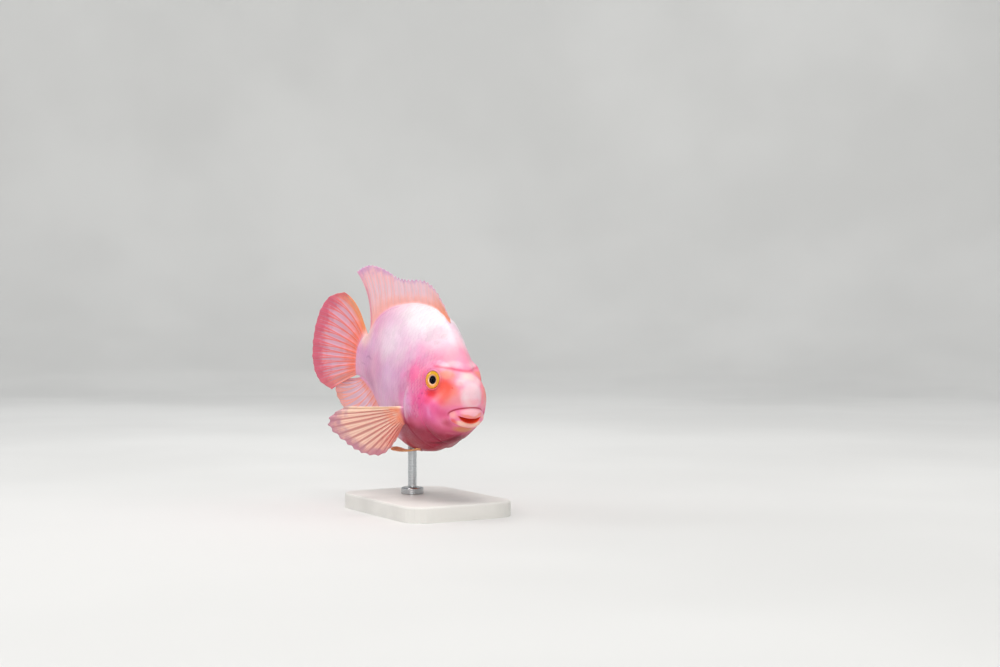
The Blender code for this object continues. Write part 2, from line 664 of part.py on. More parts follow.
def build():
    for obj in list(bpy.data.objects):
        bpy.data.objects.remove(obj)
    scene = bpy.context.scene
    fish = bpy.data.collections.new("Blood parrot cichlid")
    cutters = bpy.data.collections.new("Cutters")
    scene.collection.children.link(fish)
    scene.collection.children.link(cutters)
    skin, fin, gold = (material(name, *look) for name, look in FISH_MATERIALS.items())
    dark = material("dark_base", (0.05, 0.05, 0.055), 0.5)
    steel = material("steel_rod", (0.6, 0.6, 0.62), 0.3, 1.0)
    gap = GAP / STANDARD_LENGTH
    gill_middle = 0.225
    head = body_length("head", 0.0, GILL_EDGE, HEAD_RINGS, skin, fish, 0.0, (None, gill_middle))
    trunk = body_length("trunk", GILL_EDGE + 0.002, STALK_FRONT, TRUNK_RINGS, skin, fish, gap,
                        (gill_middle + gap, None))
    stalk = body_length("tail_stalk", STALK_FRONT, TAIL_ROOT, STALK_RINGS, skin, fish, gap, (None, None))
    eyes_and_nostrils(head, gold, fish, cutters)
    tree = skin_tree((trunk, stalk))
    dorsal_fin(tree, fin, fish)
    anal_fin(tree, fin, fish)
    tail_fin(fin, fish)
    pectoral_fin(-1, RIGHT_PECTORAL, tree, fin, fish)
    pectoral_fin(1, LEFT_PECTORAL, tree, fin, fish)
    pelvic_fin(-1, tree, fin, fish)
    pelvic_fin(1, tree, fin, fish)
    bpy.context.view_layer.update()
    stand(trunk, dark, steel, fish)


build()
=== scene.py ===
# %% [markdown]
# # A blood parrot cichlid at life size
#
# This lesson dresses a plain solid model of an aquarium fish. The solids already have the true
# size and pose. Here the fish gets its skin, some 1,300 scales, seven fins with forked rays, two
# glossy eyes and a display stand. Everything is in metres, in the solids' own frame.

import math

import bpy
import numpy as np
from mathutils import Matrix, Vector


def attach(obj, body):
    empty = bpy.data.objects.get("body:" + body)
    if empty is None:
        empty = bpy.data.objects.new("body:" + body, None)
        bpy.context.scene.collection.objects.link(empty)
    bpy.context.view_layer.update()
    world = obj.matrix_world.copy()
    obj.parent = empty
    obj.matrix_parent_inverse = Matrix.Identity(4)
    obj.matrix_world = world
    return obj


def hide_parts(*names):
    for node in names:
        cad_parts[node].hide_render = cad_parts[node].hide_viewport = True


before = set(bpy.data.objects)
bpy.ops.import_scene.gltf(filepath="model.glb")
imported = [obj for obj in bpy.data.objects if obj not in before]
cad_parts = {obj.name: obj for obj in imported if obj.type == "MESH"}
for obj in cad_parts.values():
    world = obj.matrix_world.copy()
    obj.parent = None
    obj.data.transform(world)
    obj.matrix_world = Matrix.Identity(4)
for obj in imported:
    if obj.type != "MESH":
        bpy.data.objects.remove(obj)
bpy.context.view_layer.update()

# %% [markdown]
# ## The camera
#
# The photograph was taken level with the fish, from its front right. A 50 mm lens 1.1 m away
# gives the same flattening of depth. The camera is set first, because every later choice of
# colour and detail is judged through it.

# %% Camera
CAMERA_PLACE = (0.9696, -0.5144, 0.1401)
CAMERA_TURN = 59.0
LENS, SENSOR = 50, 36

camera_data = bpy.data.cameras.new("camera")
camera_data.lens, camera_data.sensor_width = LENS, SENSOR
camera = bpy.data.objects.new("camera", camera_data)
camera.location = CAMERA_PLACE
camera.rotation_euler = (math.pi / 2, 0, math.radians(CAMERA_TURN))
bpy.context.scene.collection.objects.link(camera)
bpy.context.scene.camera = camera
print("camera stands", round(Vector(CAMERA_PLACE).length, 2), "m from the stand")

# %% [markdown]
# ## Collections
#
# A collection for each part of the scene keeps the outliner tidy: the fish, and the studio that
# it is shown in.

# %% Collections
def collection(name):
    made = bpy.data.collections.new(name)
    bpy.context.scene.collection.children.link(made)
    return made


FISH = collection("Fish")
STUDIO = collection("Studio")

# %% [markdown]
# ## The straight fish
#
# A fish is easiest to describe laid out straight. Every size below is a share of its standard
# length: station s runs back from the lips, y to the fish's left and z up. The body hangs on
# hoops, each given by a point on the back, on the side and under the belly. A smooth curve runs
# through the hoops, so the body can be read at any hoop number, whole or not.

# %% Hoops of the body
STANDARD_LENGTH = 0.175

HOOPS = (
    # name, back, side, belly, crown, keel
    ("throat", (0.060, -0.067), (0.070, 0.014, -0.060), (0.060, -0.074), 1.0, 1.0),
    ("mouth floor", (0.036, -0.066), (0.052, 0.042, -0.057), (0.040, -0.082), 1.0, 1.0),
    ("inner lip", (0.005, -0.0670), (0.026, 0.051, -0.0565), (0.012, -0.084), 0.95, 1.0),
    ("lip crest", (-0.008, -0.0495), (0.040, 0.073, -0.059), (0.001, -0.096), 1.0, 0.9),
    ("outer lip", (0.000, -0.027), (0.055, 0.082, -0.064), (0.015, -0.109), 1.05, 0.9),
    ("lip groove", (0.016, -0.019), (0.068, 0.086, -0.064), (0.036, -0.111), 1.10, 0.9),
    ("nose front", (0.010, 0.006), (0.088, 0.111, -0.040), (0.050, -0.125), 0.90, 0.9),
    ("nose", (0.017, 0.052), (0.112, 0.124, -0.028), (0.076, -0.150), 0.95, 0.9),
    ("snout", (0.042, 0.092), (0.138, 0.133, -0.022), (0.102, -0.178), 1.10, 0.95),
    ("brow notch", (0.088, 0.120), (0.166, 0.140, -0.024), (0.128, -0.200), 1.20, 1.0),
    ("brow", (0.126, 0.150), (0.200, 0.147, -0.030), (0.150, -0.215), 1.30, 1.0),
    ("forehead", (0.174, 0.198), (0.237, 0.155, -0.040), (0.172, -0.229), 1.34, 1.0),
    ("nape", (0.226, 0.244), (0.278, 0.161, -0.052), (0.196, -0.243), 1.36, 1.0),
    ("gill edge", (0.272, 0.281), (0.322, 0.165, -0.062), (0.225, -0.260), 1.30, 1.0),
    ("shoulder", (0.345, 0.311), (0.402, 0.167, -0.050), (0.310, -0.299), 1.15, 1.0),
    ("back peak", (0.450, 0.326), (0.505, 0.160, -0.030), (0.440, -0.325), 1.2, 1.0),
    ("loin", (0.570, 0.319), (0.600, 0.143, -0.012), (0.560, -0.318), 1.2, 1.05),
    ("vent", (0.690, 0.292), (0.700, 0.115, 0.000), (0.670, -0.275), 1.2, 1.1),
    ("anal fin", (0.795, 0.250), (0.785, 0.085, 0.002), (0.775, -0.208), 1.15, 1.1),
    ("stalk front", (0.868, 0.190), (0.860, 0.060, 0.004), (0.860, -0.142), 1.1, 1.1),
    ("stalk", (0.908, 0.133), (0.910, 0.045, 0.004), (0.915, -0.112), 1.05, 1.05),
    ("tail root", (0.928, 0.106), (0.965, 0.032, 0.004), (0.965, -0.104), 1.0, 1.0),
)
NAMES = [hoop[0] for hoop in HOOPS]
GILL_EDGE = float(NAMES.index("gill edge"))
STALK_FRONT = float(NAMES.index("stalk front"))
TAIL_ROOT = float(NAMES.index("tail root"))
print(len(HOOPS), "hoops from the mouth to the tail")

# %% [markdown]
# The curve through the hoops must not overshoot, or the lips would ripple. A monotone cubic does
# that: where the values rise and then fall, the curve is flat at the top. The two small shapes
# after it, a soft step and a soft bump, are the tools for every groove and swelling. Two more
# functions scale vectors to length 1 and find the way that a surface faces.

# %% Curves
def through(values, k):
    """A smooth curve through values, read at hoop number k, that never overshoots them."""
    values = np.asarray(values, float)
    k = np.asarray(k, float)
    step = np.diff(values)
    slope = np.zeros(len(values))
    slope[0], slope[-1] = step[0], step[-1]
    same = step[:-1] * step[1:] > 0
    total = np.where(same, step[:-1] + step[1:], 1.0)
    slope[1:-1] = np.where(same, 2 * step[:-1] * step[1:] / total, 0.0)
    i = np.clip(np.floor(k).astype(int), 0, len(values) - 2)
    t = k - i
    return (
        (2 * t**3 - 3 * t**2 + 1) * values[i]
        + (t**3 - 2 * t**2 + t) * slope[i]
        + (3 * t**2 - 2 * t**3) * values[i + 1]
        + (t**3 - t**2) * slope[i + 1]
    )


def rail(column, part, k):
    """One coordinate of one rail at hoop number k."""
    return through([hoop[column][part] for hoop in HOOPS], k)


def smooth_step(low, high, x):
    t = np.clip((np.asarray(x, float) - low) / (high - low), 0, 1)
    return t * t * (3 - 2 * t)


def bump(x, centre, width):
    return np.exp(-(((np.asarray(x, float) - centre) / width) ** 2))


def unit(vectors):
    """The same directions with length 1."""
    return vectors / np.maximum(np.linalg.norm(vectors, axis=-1, keepdims=True), 1e-12)


def facing(surface, k, angle, hoop_step, turn_step):
    """The outward direction of a surface, by small steps along it and round it."""
    along = surface(k + hoop_step, angle) - surface(k - hoop_step, angle)
    turn = surface(k, angle + turn_step) - surface(k, angle - turn_step)
    return unit(np.cross(turn, along))

# %% [markdown]
# A point of the body is found by its hoop and its angle round the body: 0 is the fish's left
# side, 90 the back and -90 the belly.

# %% The smooth body
# How much narrower the back or the keel is for each unit of crown or keel over 1
NARROWING = 0.9
# The sign of y on each side of the fish, and the word for it in names
SIDES = ((1, "left"), (-1, "right"))


def hull_point(k, angle):
    """The smooth body at hoop k and an angle in degrees, 0 on the left side and 90 on top."""
    k, angle = np.broadcast_arrays(np.asarray(k, float), np.radians(angle))
    across, upright = np.cos(angle), np.sin(angle)
    top = upright >= 0
    side_s, side_y, side_z = (rail(2, part, k) for part in range(3))
    end_s = np.where(top, rail(1, 0, k), rail(3, 0, k))
    end_z = np.where(top, rail(1, 1, k), rail(3, 1, k))
    crown = through([hoop[4] for hoop in HOOPS], k)
    keel = through([hoop[5] for hoop in HOOPS], k)
    boxy = np.where(top, crown, keel)
    # Below the side rail the gill cover keeps back, then sweeps forward under the breast
    sweep = np.where(top, 2.0, 2.0 + smooth_step(9, 13, k))
    s = side_s + (end_s - side_s) * np.abs(upright) ** sweep
    y = side_y * across * (1 - NARROWING * (boxy - 1) * upright**2)
    z = side_z + (end_z - side_z) * np.abs(upright)
    return np.stack([s, y, z], -1)

# %% [markdown]
# ## Relief of the head
#
# The head is what people know this fish by. The hoops give it its swollen forehead and blunt
# muzzle. The relief adds the furrow between them, a groove on each side of the muzzle, the full
# cheek with a line down it, and the gill cover's free edge. Each is a bump or a groove of a third
# of a millimetre to a little over one, along the outward direction.

# %% Relief
# Each groove's place, depth and width. The places are a hoop, a height and a distance from the
# midline, in that order.
CHEEK_GROOVE = (10.35, 0.0050, 0.16)
BROW_GROOVE = (0.117, 0.0020, 0.0110)
MUZZLE_GROOVE = (0.052, 0.0045, 0.0080)
GILL_COVER_RISE = 0.007
CHEEK_RISE = 0.006

# Eye: its hoop and angle round the body, its size, how far its centre is sunk, and how far it
# looks forward and up. The skin is flat round it out to the first value of EYE_PLAIN. It is back
# in its own shape by the second where it lies behind the flat, by the third where it stands out.
EYE_HOOP = 10.0
EYE_ANGLE = 31.0
EYE_RADIUS = 0.045
EYE_SINK = 0.0155
EYE_FORWARD = 20.0
EYE_UP = 9.0
EYE_PLAIN = (0.048, 0.092, 0.125)


def eye_seat(side):
    """The point of skin that the eye is set in, and the way it looks, in the straight fish."""
    forward, up = math.radians(EYE_FORWARD), math.radians(EYE_UP)
    look = np.array([-math.sin(forward) * math.cos(up), math.cos(forward) * math.cos(up), math.sin(up)])
    mirror = np.array([1, side, 1])
    return hull_point(EYE_HOOP, EYE_ANGLE) * mirror, look * mirror


def above_rail(angle):
    """Degrees above the side rail, the same on both sides of the fish."""
    return np.degrees(np.arcsin(np.clip(np.sin(np.radians(angle)), -1, 1)))


def relief(k, angle):
    """How far the head's skin stands out of the smooth body, in shares of the length."""
    k, angle = np.broadcast_arrays(np.asarray(k, float), np.asarray(angle, float))
    lift = above_rail(angle)
    on_flank = smooth_step(32, 0, lift) * smooth_step(-88, -70, lift)
    cover = GILL_COVER_RISE * smooth_step(10.6, 12.6, k) * (k <= GILL_EDGE + 0.001) * on_flank
    hoop, depth, width = CHEEK_GROOVE
    cheek_line = -depth * bump(k, hoop, width) * smooth_step(25, 5, lift) * smooth_step(-85, -60, lift)
    point = hull_point(k, angle)
    height, depth, width = BROW_GROOVE
    brow_line = -depth * bump(point[..., 2], height, width) * smooth_step(0.20, 0.16, point[..., 0])
    offset, depth, width = MUZZLE_GROOVE
    on_muzzle = smooth_step(-0.020, 0.005, point[..., 2]) * smooth_step(0.090, 0.060, point[..., 2])
    muzzle_line = -depth * bump(np.abs(point[..., 1]), offset, width) * on_muzzle * smooth_step(5.0, 5.6, k)
    cheek = CHEEK_RISE * bump(k, 8.6, 1.1) * bump(lift, -18, 26)
    return cover + cheek_line + brow_line + muzzle_line * (point[..., 0] < 0.12) + cheek


def off_seat(points, seat, look):
    """How far points lie from an eye's seat along its look, and how far off to the side of it."""
    depth = (points - seat) @ look
    return depth, np.linalg.norm(points - seat - depth[..., None] * look, axis=-1)


def skin_point(k, angle):
    """The body with its relief and the flat round each eye, in the straight fish."""
    k, angle = np.asarray(k, float), np.asarray(angle, float)
    out = hull_point(k, angle) + facing(hull_point, k, angle, 0.02, 1.0) * relief(k, angle)[..., None]
    for side, _ in SIDES:
        seat, look = eye_seat(side)
        depth, away = off_seat(out, seat, look)
        reach = np.where(depth < 0, EYE_PLAIN[1], EYE_PLAIN[2])
        flat = smooth_step(reach, EYE_PLAIN[0], away) * (out[..., 1] * side > 0)
        out = out - (depth * flat)[..., None] * look
    return out

# %% [markdown]
# ## From the straight fish to the pose
#
# The fish swims nose down, with its tail swung to its right. The middle line is bent by adding
# up small turns, and then the whole fish is leaned, pitched and set over the stand.

# %% Pose
NOSE_DOWN = 12.0
LEAN_LEFT = 1.0
BODY_TURN = 22.0
TAIL_TURN = 24.0
AXIS_HEIGHT = 0.104
PIVOT = 0.45
BEND_START = 0.33
FIN_START = 0.955
FIN_REACH = 0.29


def bend_table():
    """Station, distance back, distance right and heading along the bent middle of the fish."""
    station = np.linspace(-0.1, 1.6, 1701)
    body = np.clip((station - BEND_START) / (1 - BEND_START), 0, 1) ** 1.5
    fin = np.clip((station - FIN_START) / FIN_REACH, 0, 1.6)
    heading = np.radians(BODY_TURN) * body + np.radians(TAIL_TURN) * fin
    step = np.diff(station)
    middle = (heading[1:] + heading[:-1]) / 2
    back = station[0] + np.concatenate([[0], np.cumsum(step * np.cos(middle))])
    right = np.concatenate([[0], np.cumsum(step * np.sin(middle))])
    return station, back, right, heading


BEND = bend_table()


def posed(points):
    """Straight-fish points, in shares of the length, to their places over the stand, in metres."""
    points = np.asarray(points, float)
    s, y, z = points[..., 0], points[..., 1], points[..., 2]
    station, back, right, heading = BEND
    turn = np.interp(s, station, heading)
    forward = -(np.interp(s, station, back) + y * np.sin(turn))
    left = -np.interp(s, station, right) + y * np.cos(turn)
    forward = forward + PIVOT
    lean, pitch = math.radians(LEAN_LEFT), math.radians(NOSE_DOWN)
    left, up = left * math.cos(lean) + z * math.sin(lean), z * math.cos(lean) - left * math.sin(lean)
    ahead = forward * math.cos(pitch) + up * math.sin(pitch)
    up = up * math.cos(pitch) - forward * math.sin(pitch)
    place = np.stack([ahead, left, up], -1) * STANDARD_LENGTH
    return place + np.array([0.0, 0.0, AXIS_HEIGHT])


print("lips at", np.round(posed(hull_point(3.0, 90.0)), 3), "m")

# %% [markdown]
# ## Building materials in code
#
# Blender's shader nodes can be placed and wired by a script. Here a wire stands for one output of
# a node, and arithmetic on wires places math nodes, so a chain of nodes reads like a formula. A
# colour is written as a code and turned into the linear values that shaders use.

# %% Wires
def tone(code):
    """A colour such as "f4c3cf" as linear red, green, blue and alpha."""
    parts = [int(code[i:i + 2], 16) / 255 for i in (0, 2, 4)]
    linear = [c / 12.92 if c <= 0.04045 else ((c + 0.055) / 1.055) ** 2.4 for c in parts]
    return (*linear, 1.0)


class Wire:
    """One output of a node. Arithmetic on wires places math nodes."""

    def __init__(self, source):
        self.source, self.tree = source, source.id_data

    def __add__(self, other):
        return maths("ADD", self, other)

    def __sub__(self, other):
        return maths("SUBTRACT", self, other)

    def __rsub__(self, other):
        return maths("SUBTRACT", other, self)

    def __mul__(self, other):
        return maths("MULTIPLY", self, other)

    def __truediv__(self, other):
        return maths("DIVIDE", self, other)


class Outlets:
    """A node's outputs, each as a wire."""

    def __init__(self, node):
        self.node = node

    def __getitem__(self, name):
        return Wire(self.node.outputs[name])


# %% [markdown]
# With wires at hand, each kind of node needs only a short function: noise, a soft step, a blend of
# two colours, and the few steps for vectors.

# %% Node helpers
def fill(node, inputs):
    """Fills inputs of a node, each with a number, a colour code or a wire."""
    for socket, value in inputs.items():
        if isinstance(value, Wire):
            value.tree.links.new(value.source, node.inputs[socket])
        else:
            node.inputs[socket].default_value = tone(value) if isinstance(value, str) else value


def put(tree, kind, inputs=None, **settings):
    """Places a node, sets it up, fills its inputs and gives its outputs."""
    made = tree.nodes.new("ShaderNode" + kind)
    for label, value in settings.items():
        setattr(made, label, value)
    fill(made, inputs or {})
    return Outlets(made)


def tree_of(*values):
    """The node tree that the wires among some values belong to."""
    return next(value.tree for value in values if isinstance(value, Wire))


def maths(operation, first, second=0.0):
    return put(tree_of(first, second), "Math", {0: first, 1: second}, operation=operation)[0]


def vector_maths(operation, first, second=(0, 0, 0), outlet=0):
    return put(first.tree, "VectorMath", {0: first, 1: second}, operation=operation)[outlet]


def split(vector):
    """The three parts of a vector."""
    parts = put(vector.tree, "SeparateXYZ", {0: vector})
    return parts[0], parts[1], parts[2]


def noise(place, scale, detail=2.0, roughness=0.5):
    inputs = {"Vector": place, "Scale": scale, "Detail": detail, "Roughness": roughness}
    return put(place.tree, "TexNoise", inputs)


def ramp(value, start, stop, low=0.0, high=1.0):
    """A soft step: low up to start, high from stop on."""
    inputs = dict(enumerate((value, start, stop, low, high)))
    return put(value.tree, "MapRange", inputs, interpolation_type="SMOOTHSTEP")[0]


def line(value, centre, width):
    """A soft line where value is near centre."""
    return ramp(maths("ABSOLUTE", value - centre), width, 0.0)


def blend(mask, under, over, way="MIX"):
    """Two colours, the second over the first by a mask."""
    tree = tree_of(mask, under, over)
    return put(tree, "Mix", {0: mask, 6: under, 7: over}, data_type="RGBA", blend_type=way)[2]


def group(name, inputs, outputs):
    """An empty node group with named sockets: its tree, its inputs as wires and its end node."""
    tree = bpy.data.node_groups.new(name, "ShaderNodeTree")
    for label, kind, value in inputs:
        socket = tree.interface.new_socket(label, in_out="INPUT", socket_type="NodeSocket" + kind)
        if value is not None:
            socket.default_value = value
    for label, kind in outputs:
        tree.interface.new_socket(label, in_out="OUTPUT", socket_type="NodeSocket" + kind)
    return tree, Outlets(tree.nodes.new("NodeGroupInput")), tree.nodes.new("NodeGroupOutput")


def use(tree, name, inputs):
    """Places a node group and gives its outputs."""
    return put(tree, "Group", inputs, node_tree=bpy.data.node_groups[name])


def read(tree, name, output="Vector"):
    """An attribute that the mesh carries at each of its points."""
    return put(tree, "Attribute", attribute_name=name)[output]


# %% [markdown]
# ## Soft spots
#
# The markings have no hard edges: each is a cloud of colour round one place on the body. One
# group makes such a cloud from a centre and a reach in each direction, and every marking uses it.
# It reads the point's place in the straight fish, so the markings stay put when the body bends.

# %% Soft spot group
SPOT_INPUTS = (("Place", "Vector", None), ("Centre", "Vector", None), ("Reach", "Vector", (1, 1, 1)),
               ("Core", "Float", 0.25))
tree, given, result = group("Soft spot", SPOT_INPUTS, (("Mask", "Float"),))
away = vector_maths("DIVIDE", vector_maths("SUBTRACT", given["Place"], given["Centre"]), given["Reach"])
fill(result, {"Mask": ramp(vector_maths("LENGTH", away, outlet="Value"), 1.0, given["Core"])})


def spot(place, centre, reach, core):
    """The mask of one soft spot."""
    inputs = {"Place": place, "Centre": centre, "Reach": reach, "Core": core}
    return use(place.tree, "Soft spot", inputs)["Mask"]


def add_spot(place, colour, centre, reach, code, strength, core):
    """Lays one soft spot of a tone over a colour."""
    return blend(spot(place, centre, reach, core) * strength, colour, code)


# %% [markdown]
# ## Markings
#
# The fish is pink, but never one pink. The flank is lilac, the back nearly white, the cheek
# magenta, and an orange-red blush runs from the eye to the muzzle. Some rows are painted light:
# the near-white of the back and the nape is partly painted highlight from the light above, a pale
# spot on the muzzle is painted highlight, and the darker rows under the tail stalk, on the belly,
# behind the gill cover, under the corner of the mouth and in two creases of the tail stalk are
# painted shade. The table lists each cloud: where it sits, how far it reaches, its colour and its
# strength. Later rows lie over earlier ones.

# %% Table of markings
MARKINGS = (
    # station, distance from the midline, height; reach of each; colour; strength; core
    # the next two rows: the fish's pale back, brightened further by painted highlight from the light above
    ((0.50, 0.00, 0.33), (0.42, 0.17, 0.24), "ffeaef", 0.95, 0.20),
    ((0.42, 0.06, 0.27), (0.22, 0.12, 0.13), "fff6f8", 0.90, 0.20),
    ((0.55, 0.15, -0.05), (0.30, 0.12, 0.26), "e4a4ce", 0.80, 0.10),
    ((0.60, 0.11, 0.15), (0.30, 0.11, 0.15), "fde0ee", 0.85, 0.15),
    ((0.53, 0.15, 0.00), (0.13, 0.08, 0.10), "f0bade", 0.75, 0.10),
    ((0.86, 0.06, 0.00), (0.13, 0.09, 0.18), "dba0c6", 0.80, 0.15),
    ((0.80, 0.08, 0.09), (0.14, 0.09, 0.07), "f0bcdc", 0.75, 0.15),
    # painted shade under the tail stalk, over its own lilac
    ((0.81, 0.07, -0.10), (0.17, 0.12, 0.09), "ac6496", 0.72, 0.00),
    ((0.92, 0.03, 0.11), (0.10, 0.08, 0.09), "fbd0c4", 0.90, 0.20),
    # belly: deep red, partly its own colour and partly painted shade of the underside
    ((0.52, 0.04, -0.34), (0.36, 0.15, 0.17), "b01c3c", 0.92, 0.25),
    ((0.225, 0.14, -0.095), (0.055, 0.06, 0.045), "cc3c7c", 0.70, 0.10),
    ((0.12, 0.04, 0.02), (0.27, 0.20, 0.33), "f98cae", 0.95, 0.55),
    ((0.18, 0.02, 0.19), (0.17, 0.15, 0.14), "fca6ba", 0.90, 0.25),
    # pale nape: its own pale pink, brightened by painted highlight from the light above
    ((0.27, 0.05, 0.23), (0.13, 0.12, 0.10), "ffe0e9", 0.90, 0.15),
    ((0.29, 0.15, 0.05), (0.10, 0.09, 0.12), "ee5e94", 0.85, 0.20),
    ((0.235, 0.14, 0.055), (0.075, 0.08, 0.075), "f96a90", 0.80, 0.10),
    ((0.22, 0.15, -0.04), (0.10, 0.08, 0.12), "f04e90", 0.85, 0.15),
    ((0.16, 0.13, -0.09), (0.10, 0.09, 0.08), "e25a9a", 0.85, 0.15),
    ((0.150, 0.135, -0.070), (0.026, 0.050, 0.050), "f09ccc", 0.45, 0.00),
    ((0.29, 0.16, -0.08), (0.045, 0.06, 0.08), "e59cc8", 0.80, 0.20),
    # painted shadow on the shoulder, just behind the gill cover's edge
    ((0.365, 0.16, -0.03), (0.055, 0.06, 0.10), "cf649c", 0.70, 0.15),
    ((0.075, 0.10, 0.030), (0.095, 0.09, 0.085), "fb8c80", 0.95, 0.25),
    ((0.115, 0.10, 0.048), (0.085, 0.07, 0.070), "f94e3c", 0.95, 0.25),
    ((0.168, 0.12, 0.008), (0.060, 0.05, 0.038), "e21408", 0.88, 0.20),
    ((0.165, 0.13, -0.024), (0.050, 0.05, 0.030), "e42e66", 0.70, 0.10),
    ((0.100, 0.11, -0.008), (0.045, 0.05, 0.030), "fa5064", 0.60, 0.10),
    # the next two rows: painted shade in two short creases of the tail stalk
    ((0.830, 0.07, 0.020), (0.060, 0.05, 0.009), "b674a0", 0.55, 0.10),
    ((0.895, 0.05, -0.024), (0.045, 0.04, 0.008), "b674a0", 0.50, 0.10),
    ((0.128, 0.08, 0.100), (0.075, 0.07, 0.026), "fb967c", 0.85, 0.25),
    ((0.118, 0.12, -0.045), (0.060, 0.06, 0.040), "f2609a", 0.75, 0.15),
    ((0.040, 0.07, 0.000), (0.040, 0.05, 0.035), "fc98a2", 0.75, 0.15),
    ((0.084, 0.10, -0.062), (0.050, 0.050, 0.050), "d83e72", 0.72, 0.00),
    # painted shade under the corner of the mouth
    ((0.072, 0.080, -0.104), (0.042, 0.050, 0.030), "b43a4c", 0.75, 0.05),
    # painted highlight on the top of the muzzle
    ((0.055, 0.045, 0.086), (0.040, 0.045, 0.024), "ffe2dc", 0.60, 0.10),
    ((0.022, 0.00, 0.035), (0.070, 0.066, 0.090), "fbd3da", 0.92, 0.50),
    ((0.070, 0.00, 0.106), (0.050, 0.060, 0.030), "fbd0c6", 0.85, 0.25),
    ((0.008, 0.00, 0.004), (0.040, 0.070, 0.026), "fcb2ba", 0.80, 0.20),
    ((0.145, 0.05, 0.136), (0.060, 0.08, 0.022), "fdc4cd", 0.85, 0.25),
    ((0.000, 0.04, -0.034), (0.034, 0.085, 0.022), "fcb6be", 0.92, 0.40),
    ((0.000, 0.02, -0.052), (0.034, 0.060, 0.011), "fa9478", 0.85, 0.30),
    ((0.008, 0.03, -0.092), (0.032, 0.085, 0.021), "ffcdb4", 0.95, 0.55),
    ((0.040, 0.074, -0.062), (0.026, 0.030, 0.022), "fdb4aa", 0.85, 0.25),
    ((0.034, 0.068, -0.088), (0.024, 0.030, 0.018), "ee5a4c", 0.80, 0.20),
)
print(len(MARKINGS), "markings")

# %% [markdown]
# The group folds the fish onto one side, so that both sides are marked alike, and shifts each
# point by a slow noise, so that no marking is a plain oval.

# %% Group of markings
GROUND = "eaa3c6"
DRIFT = 0.045

tree, given, result = group("Fish markings", (("Place", "Vector", None), ("Hoop", "Float", 0.0)),
                            (("Colour", "Color"), ("Mottle", "Float")))
hoop = given["Hoop"]
s, y, z = split(given["Place"])
across = maths("ABSOLUTE", y)
cloud = noise(given["Place"], 11.0, 3.0)
drift = vector_maths("MULTIPLY", vector_maths("SUBTRACT", cloud["Color"], (0.5,) * 3), (DRIFT,) * 3)
place = vector_maths("ADD", put(tree, "CombineXYZ", {0: s, 1: across, 2: z})[0], drift)
colour = GROUND
for marking in MARKINGS:
    colour = add_spot(place, colour, *marking)

# %% [markdown]
# From the cheek down the pink deepens to a dark wine red in three steps, which fade out behind
# the gill cover. This is partly the fish's own colour and mostly painted shade of the lower side,
# away from the light above. The chin and the edge of the jaw then lie over them as two more spots.

# %% Painted shade of the lower side
PAINTED_SHADE_STEPS = (
    # height where it starts, height where it is full, colour, strength
    (-0.084, -0.140, "b42c58", 0.78),
    (-0.125, -0.180, "820c2c", 0.90),
    (-0.200, -0.260, "92102c", 0.80),
)
PAINTED_SHADE_BACK = (0.50, 0.36)
CHIN = ((0.044, 0.02, -0.129), (0.048, 0.070, 0.026), "c88650", 0.88, 0.35)
JAW_EDGE = ((0.092, 0.045, -0.151), (0.040, 0.045, 0.013), "b8586c", 0.70, 0.20)

drifted = split(place)
front = ramp(drifted[0], *PAINTED_SHADE_BACK)
# painted shade: the lower side darkens to wine red, far more than its own colour
for top, bottom, code, strength in PAINTED_SHADE_STEPS:
    colour = blend(ramp(drifted[2], top, bottom) * front * strength, colour, code)
for marking in (JAW_EDGE, CHIN):
    colour = add_spot(place, colour, *marking)

# %% [markdown]
# Thin features need their own masks. The furrow over the eyes is a dark pink line, the fold under
# the jaw gets a nearly maroon line of painted shade, the gill cover's edge is pale with a painted
# shadow behind it, the inside of the mouth is its own red, painted brighter as painted light in its
# shadow, and a red line runs along the groove over the upper lip.

# %% Lines on the markings
FURROW_HEIGHT = 0.121
FURROW_BACK = 0.215
# The line of painted shade along the jaw's fold: the station and height of its front end, and how it slopes
# and bends from there
FOLD_START, FOLD_HEIGHT, FOLD_SLOPE, FOLD_BEND = 0.075, -0.153, 0.90, 2.6

furrow = line(z, FURROW_HEIGHT, 0.010) * ramp(s, FURROW_BACK, FURROW_BACK - 0.03)
on_side = ramp(across, 0.07, 0.12) * ramp(z, 0.03, -0.05) * ramp(z, -0.17, -0.11)
back = s - FOLD_START
fold = line(z + (back * FOLD_SLOPE - back * back * FOLD_BEND), FOLD_HEIGHT, 0.008)
fold = fold * ramp(s, 0.06, 0.09) * ramp(s, 0.25, 0.18)
for mask, strength, code in (
    (furrow, 0.65, "e2506a"),
    (line(hoop, 12.80, 0.42) * on_side, 0.42, "efc2de"),
    # painted shadow just behind the gill cover's edge
    (line(hoop, 13.06, 0.14) * on_side, 0.60, "b4527e"),
    # painted shade along the fold under the jaw
    (fold, 0.70, "58061c"),
    # the mouth's own red, painted brighter as painted light in its shadow
    (ramp(hoop, 2.50, 2.0), 1.0, "ff5e3c"),
    (line(hoop, 4.95, 0.34) * ramp(z, -0.075, -0.050), 0.92, "b41430"),
):
    colour = blend(mask * strength, colour, code)

# %% [markdown]
# Last come two layers of mottling: broad clouds that shift the pink a little everywhere, and
# small darker flecks that are strongest on the cheek and behind the eye, as in the photograph.

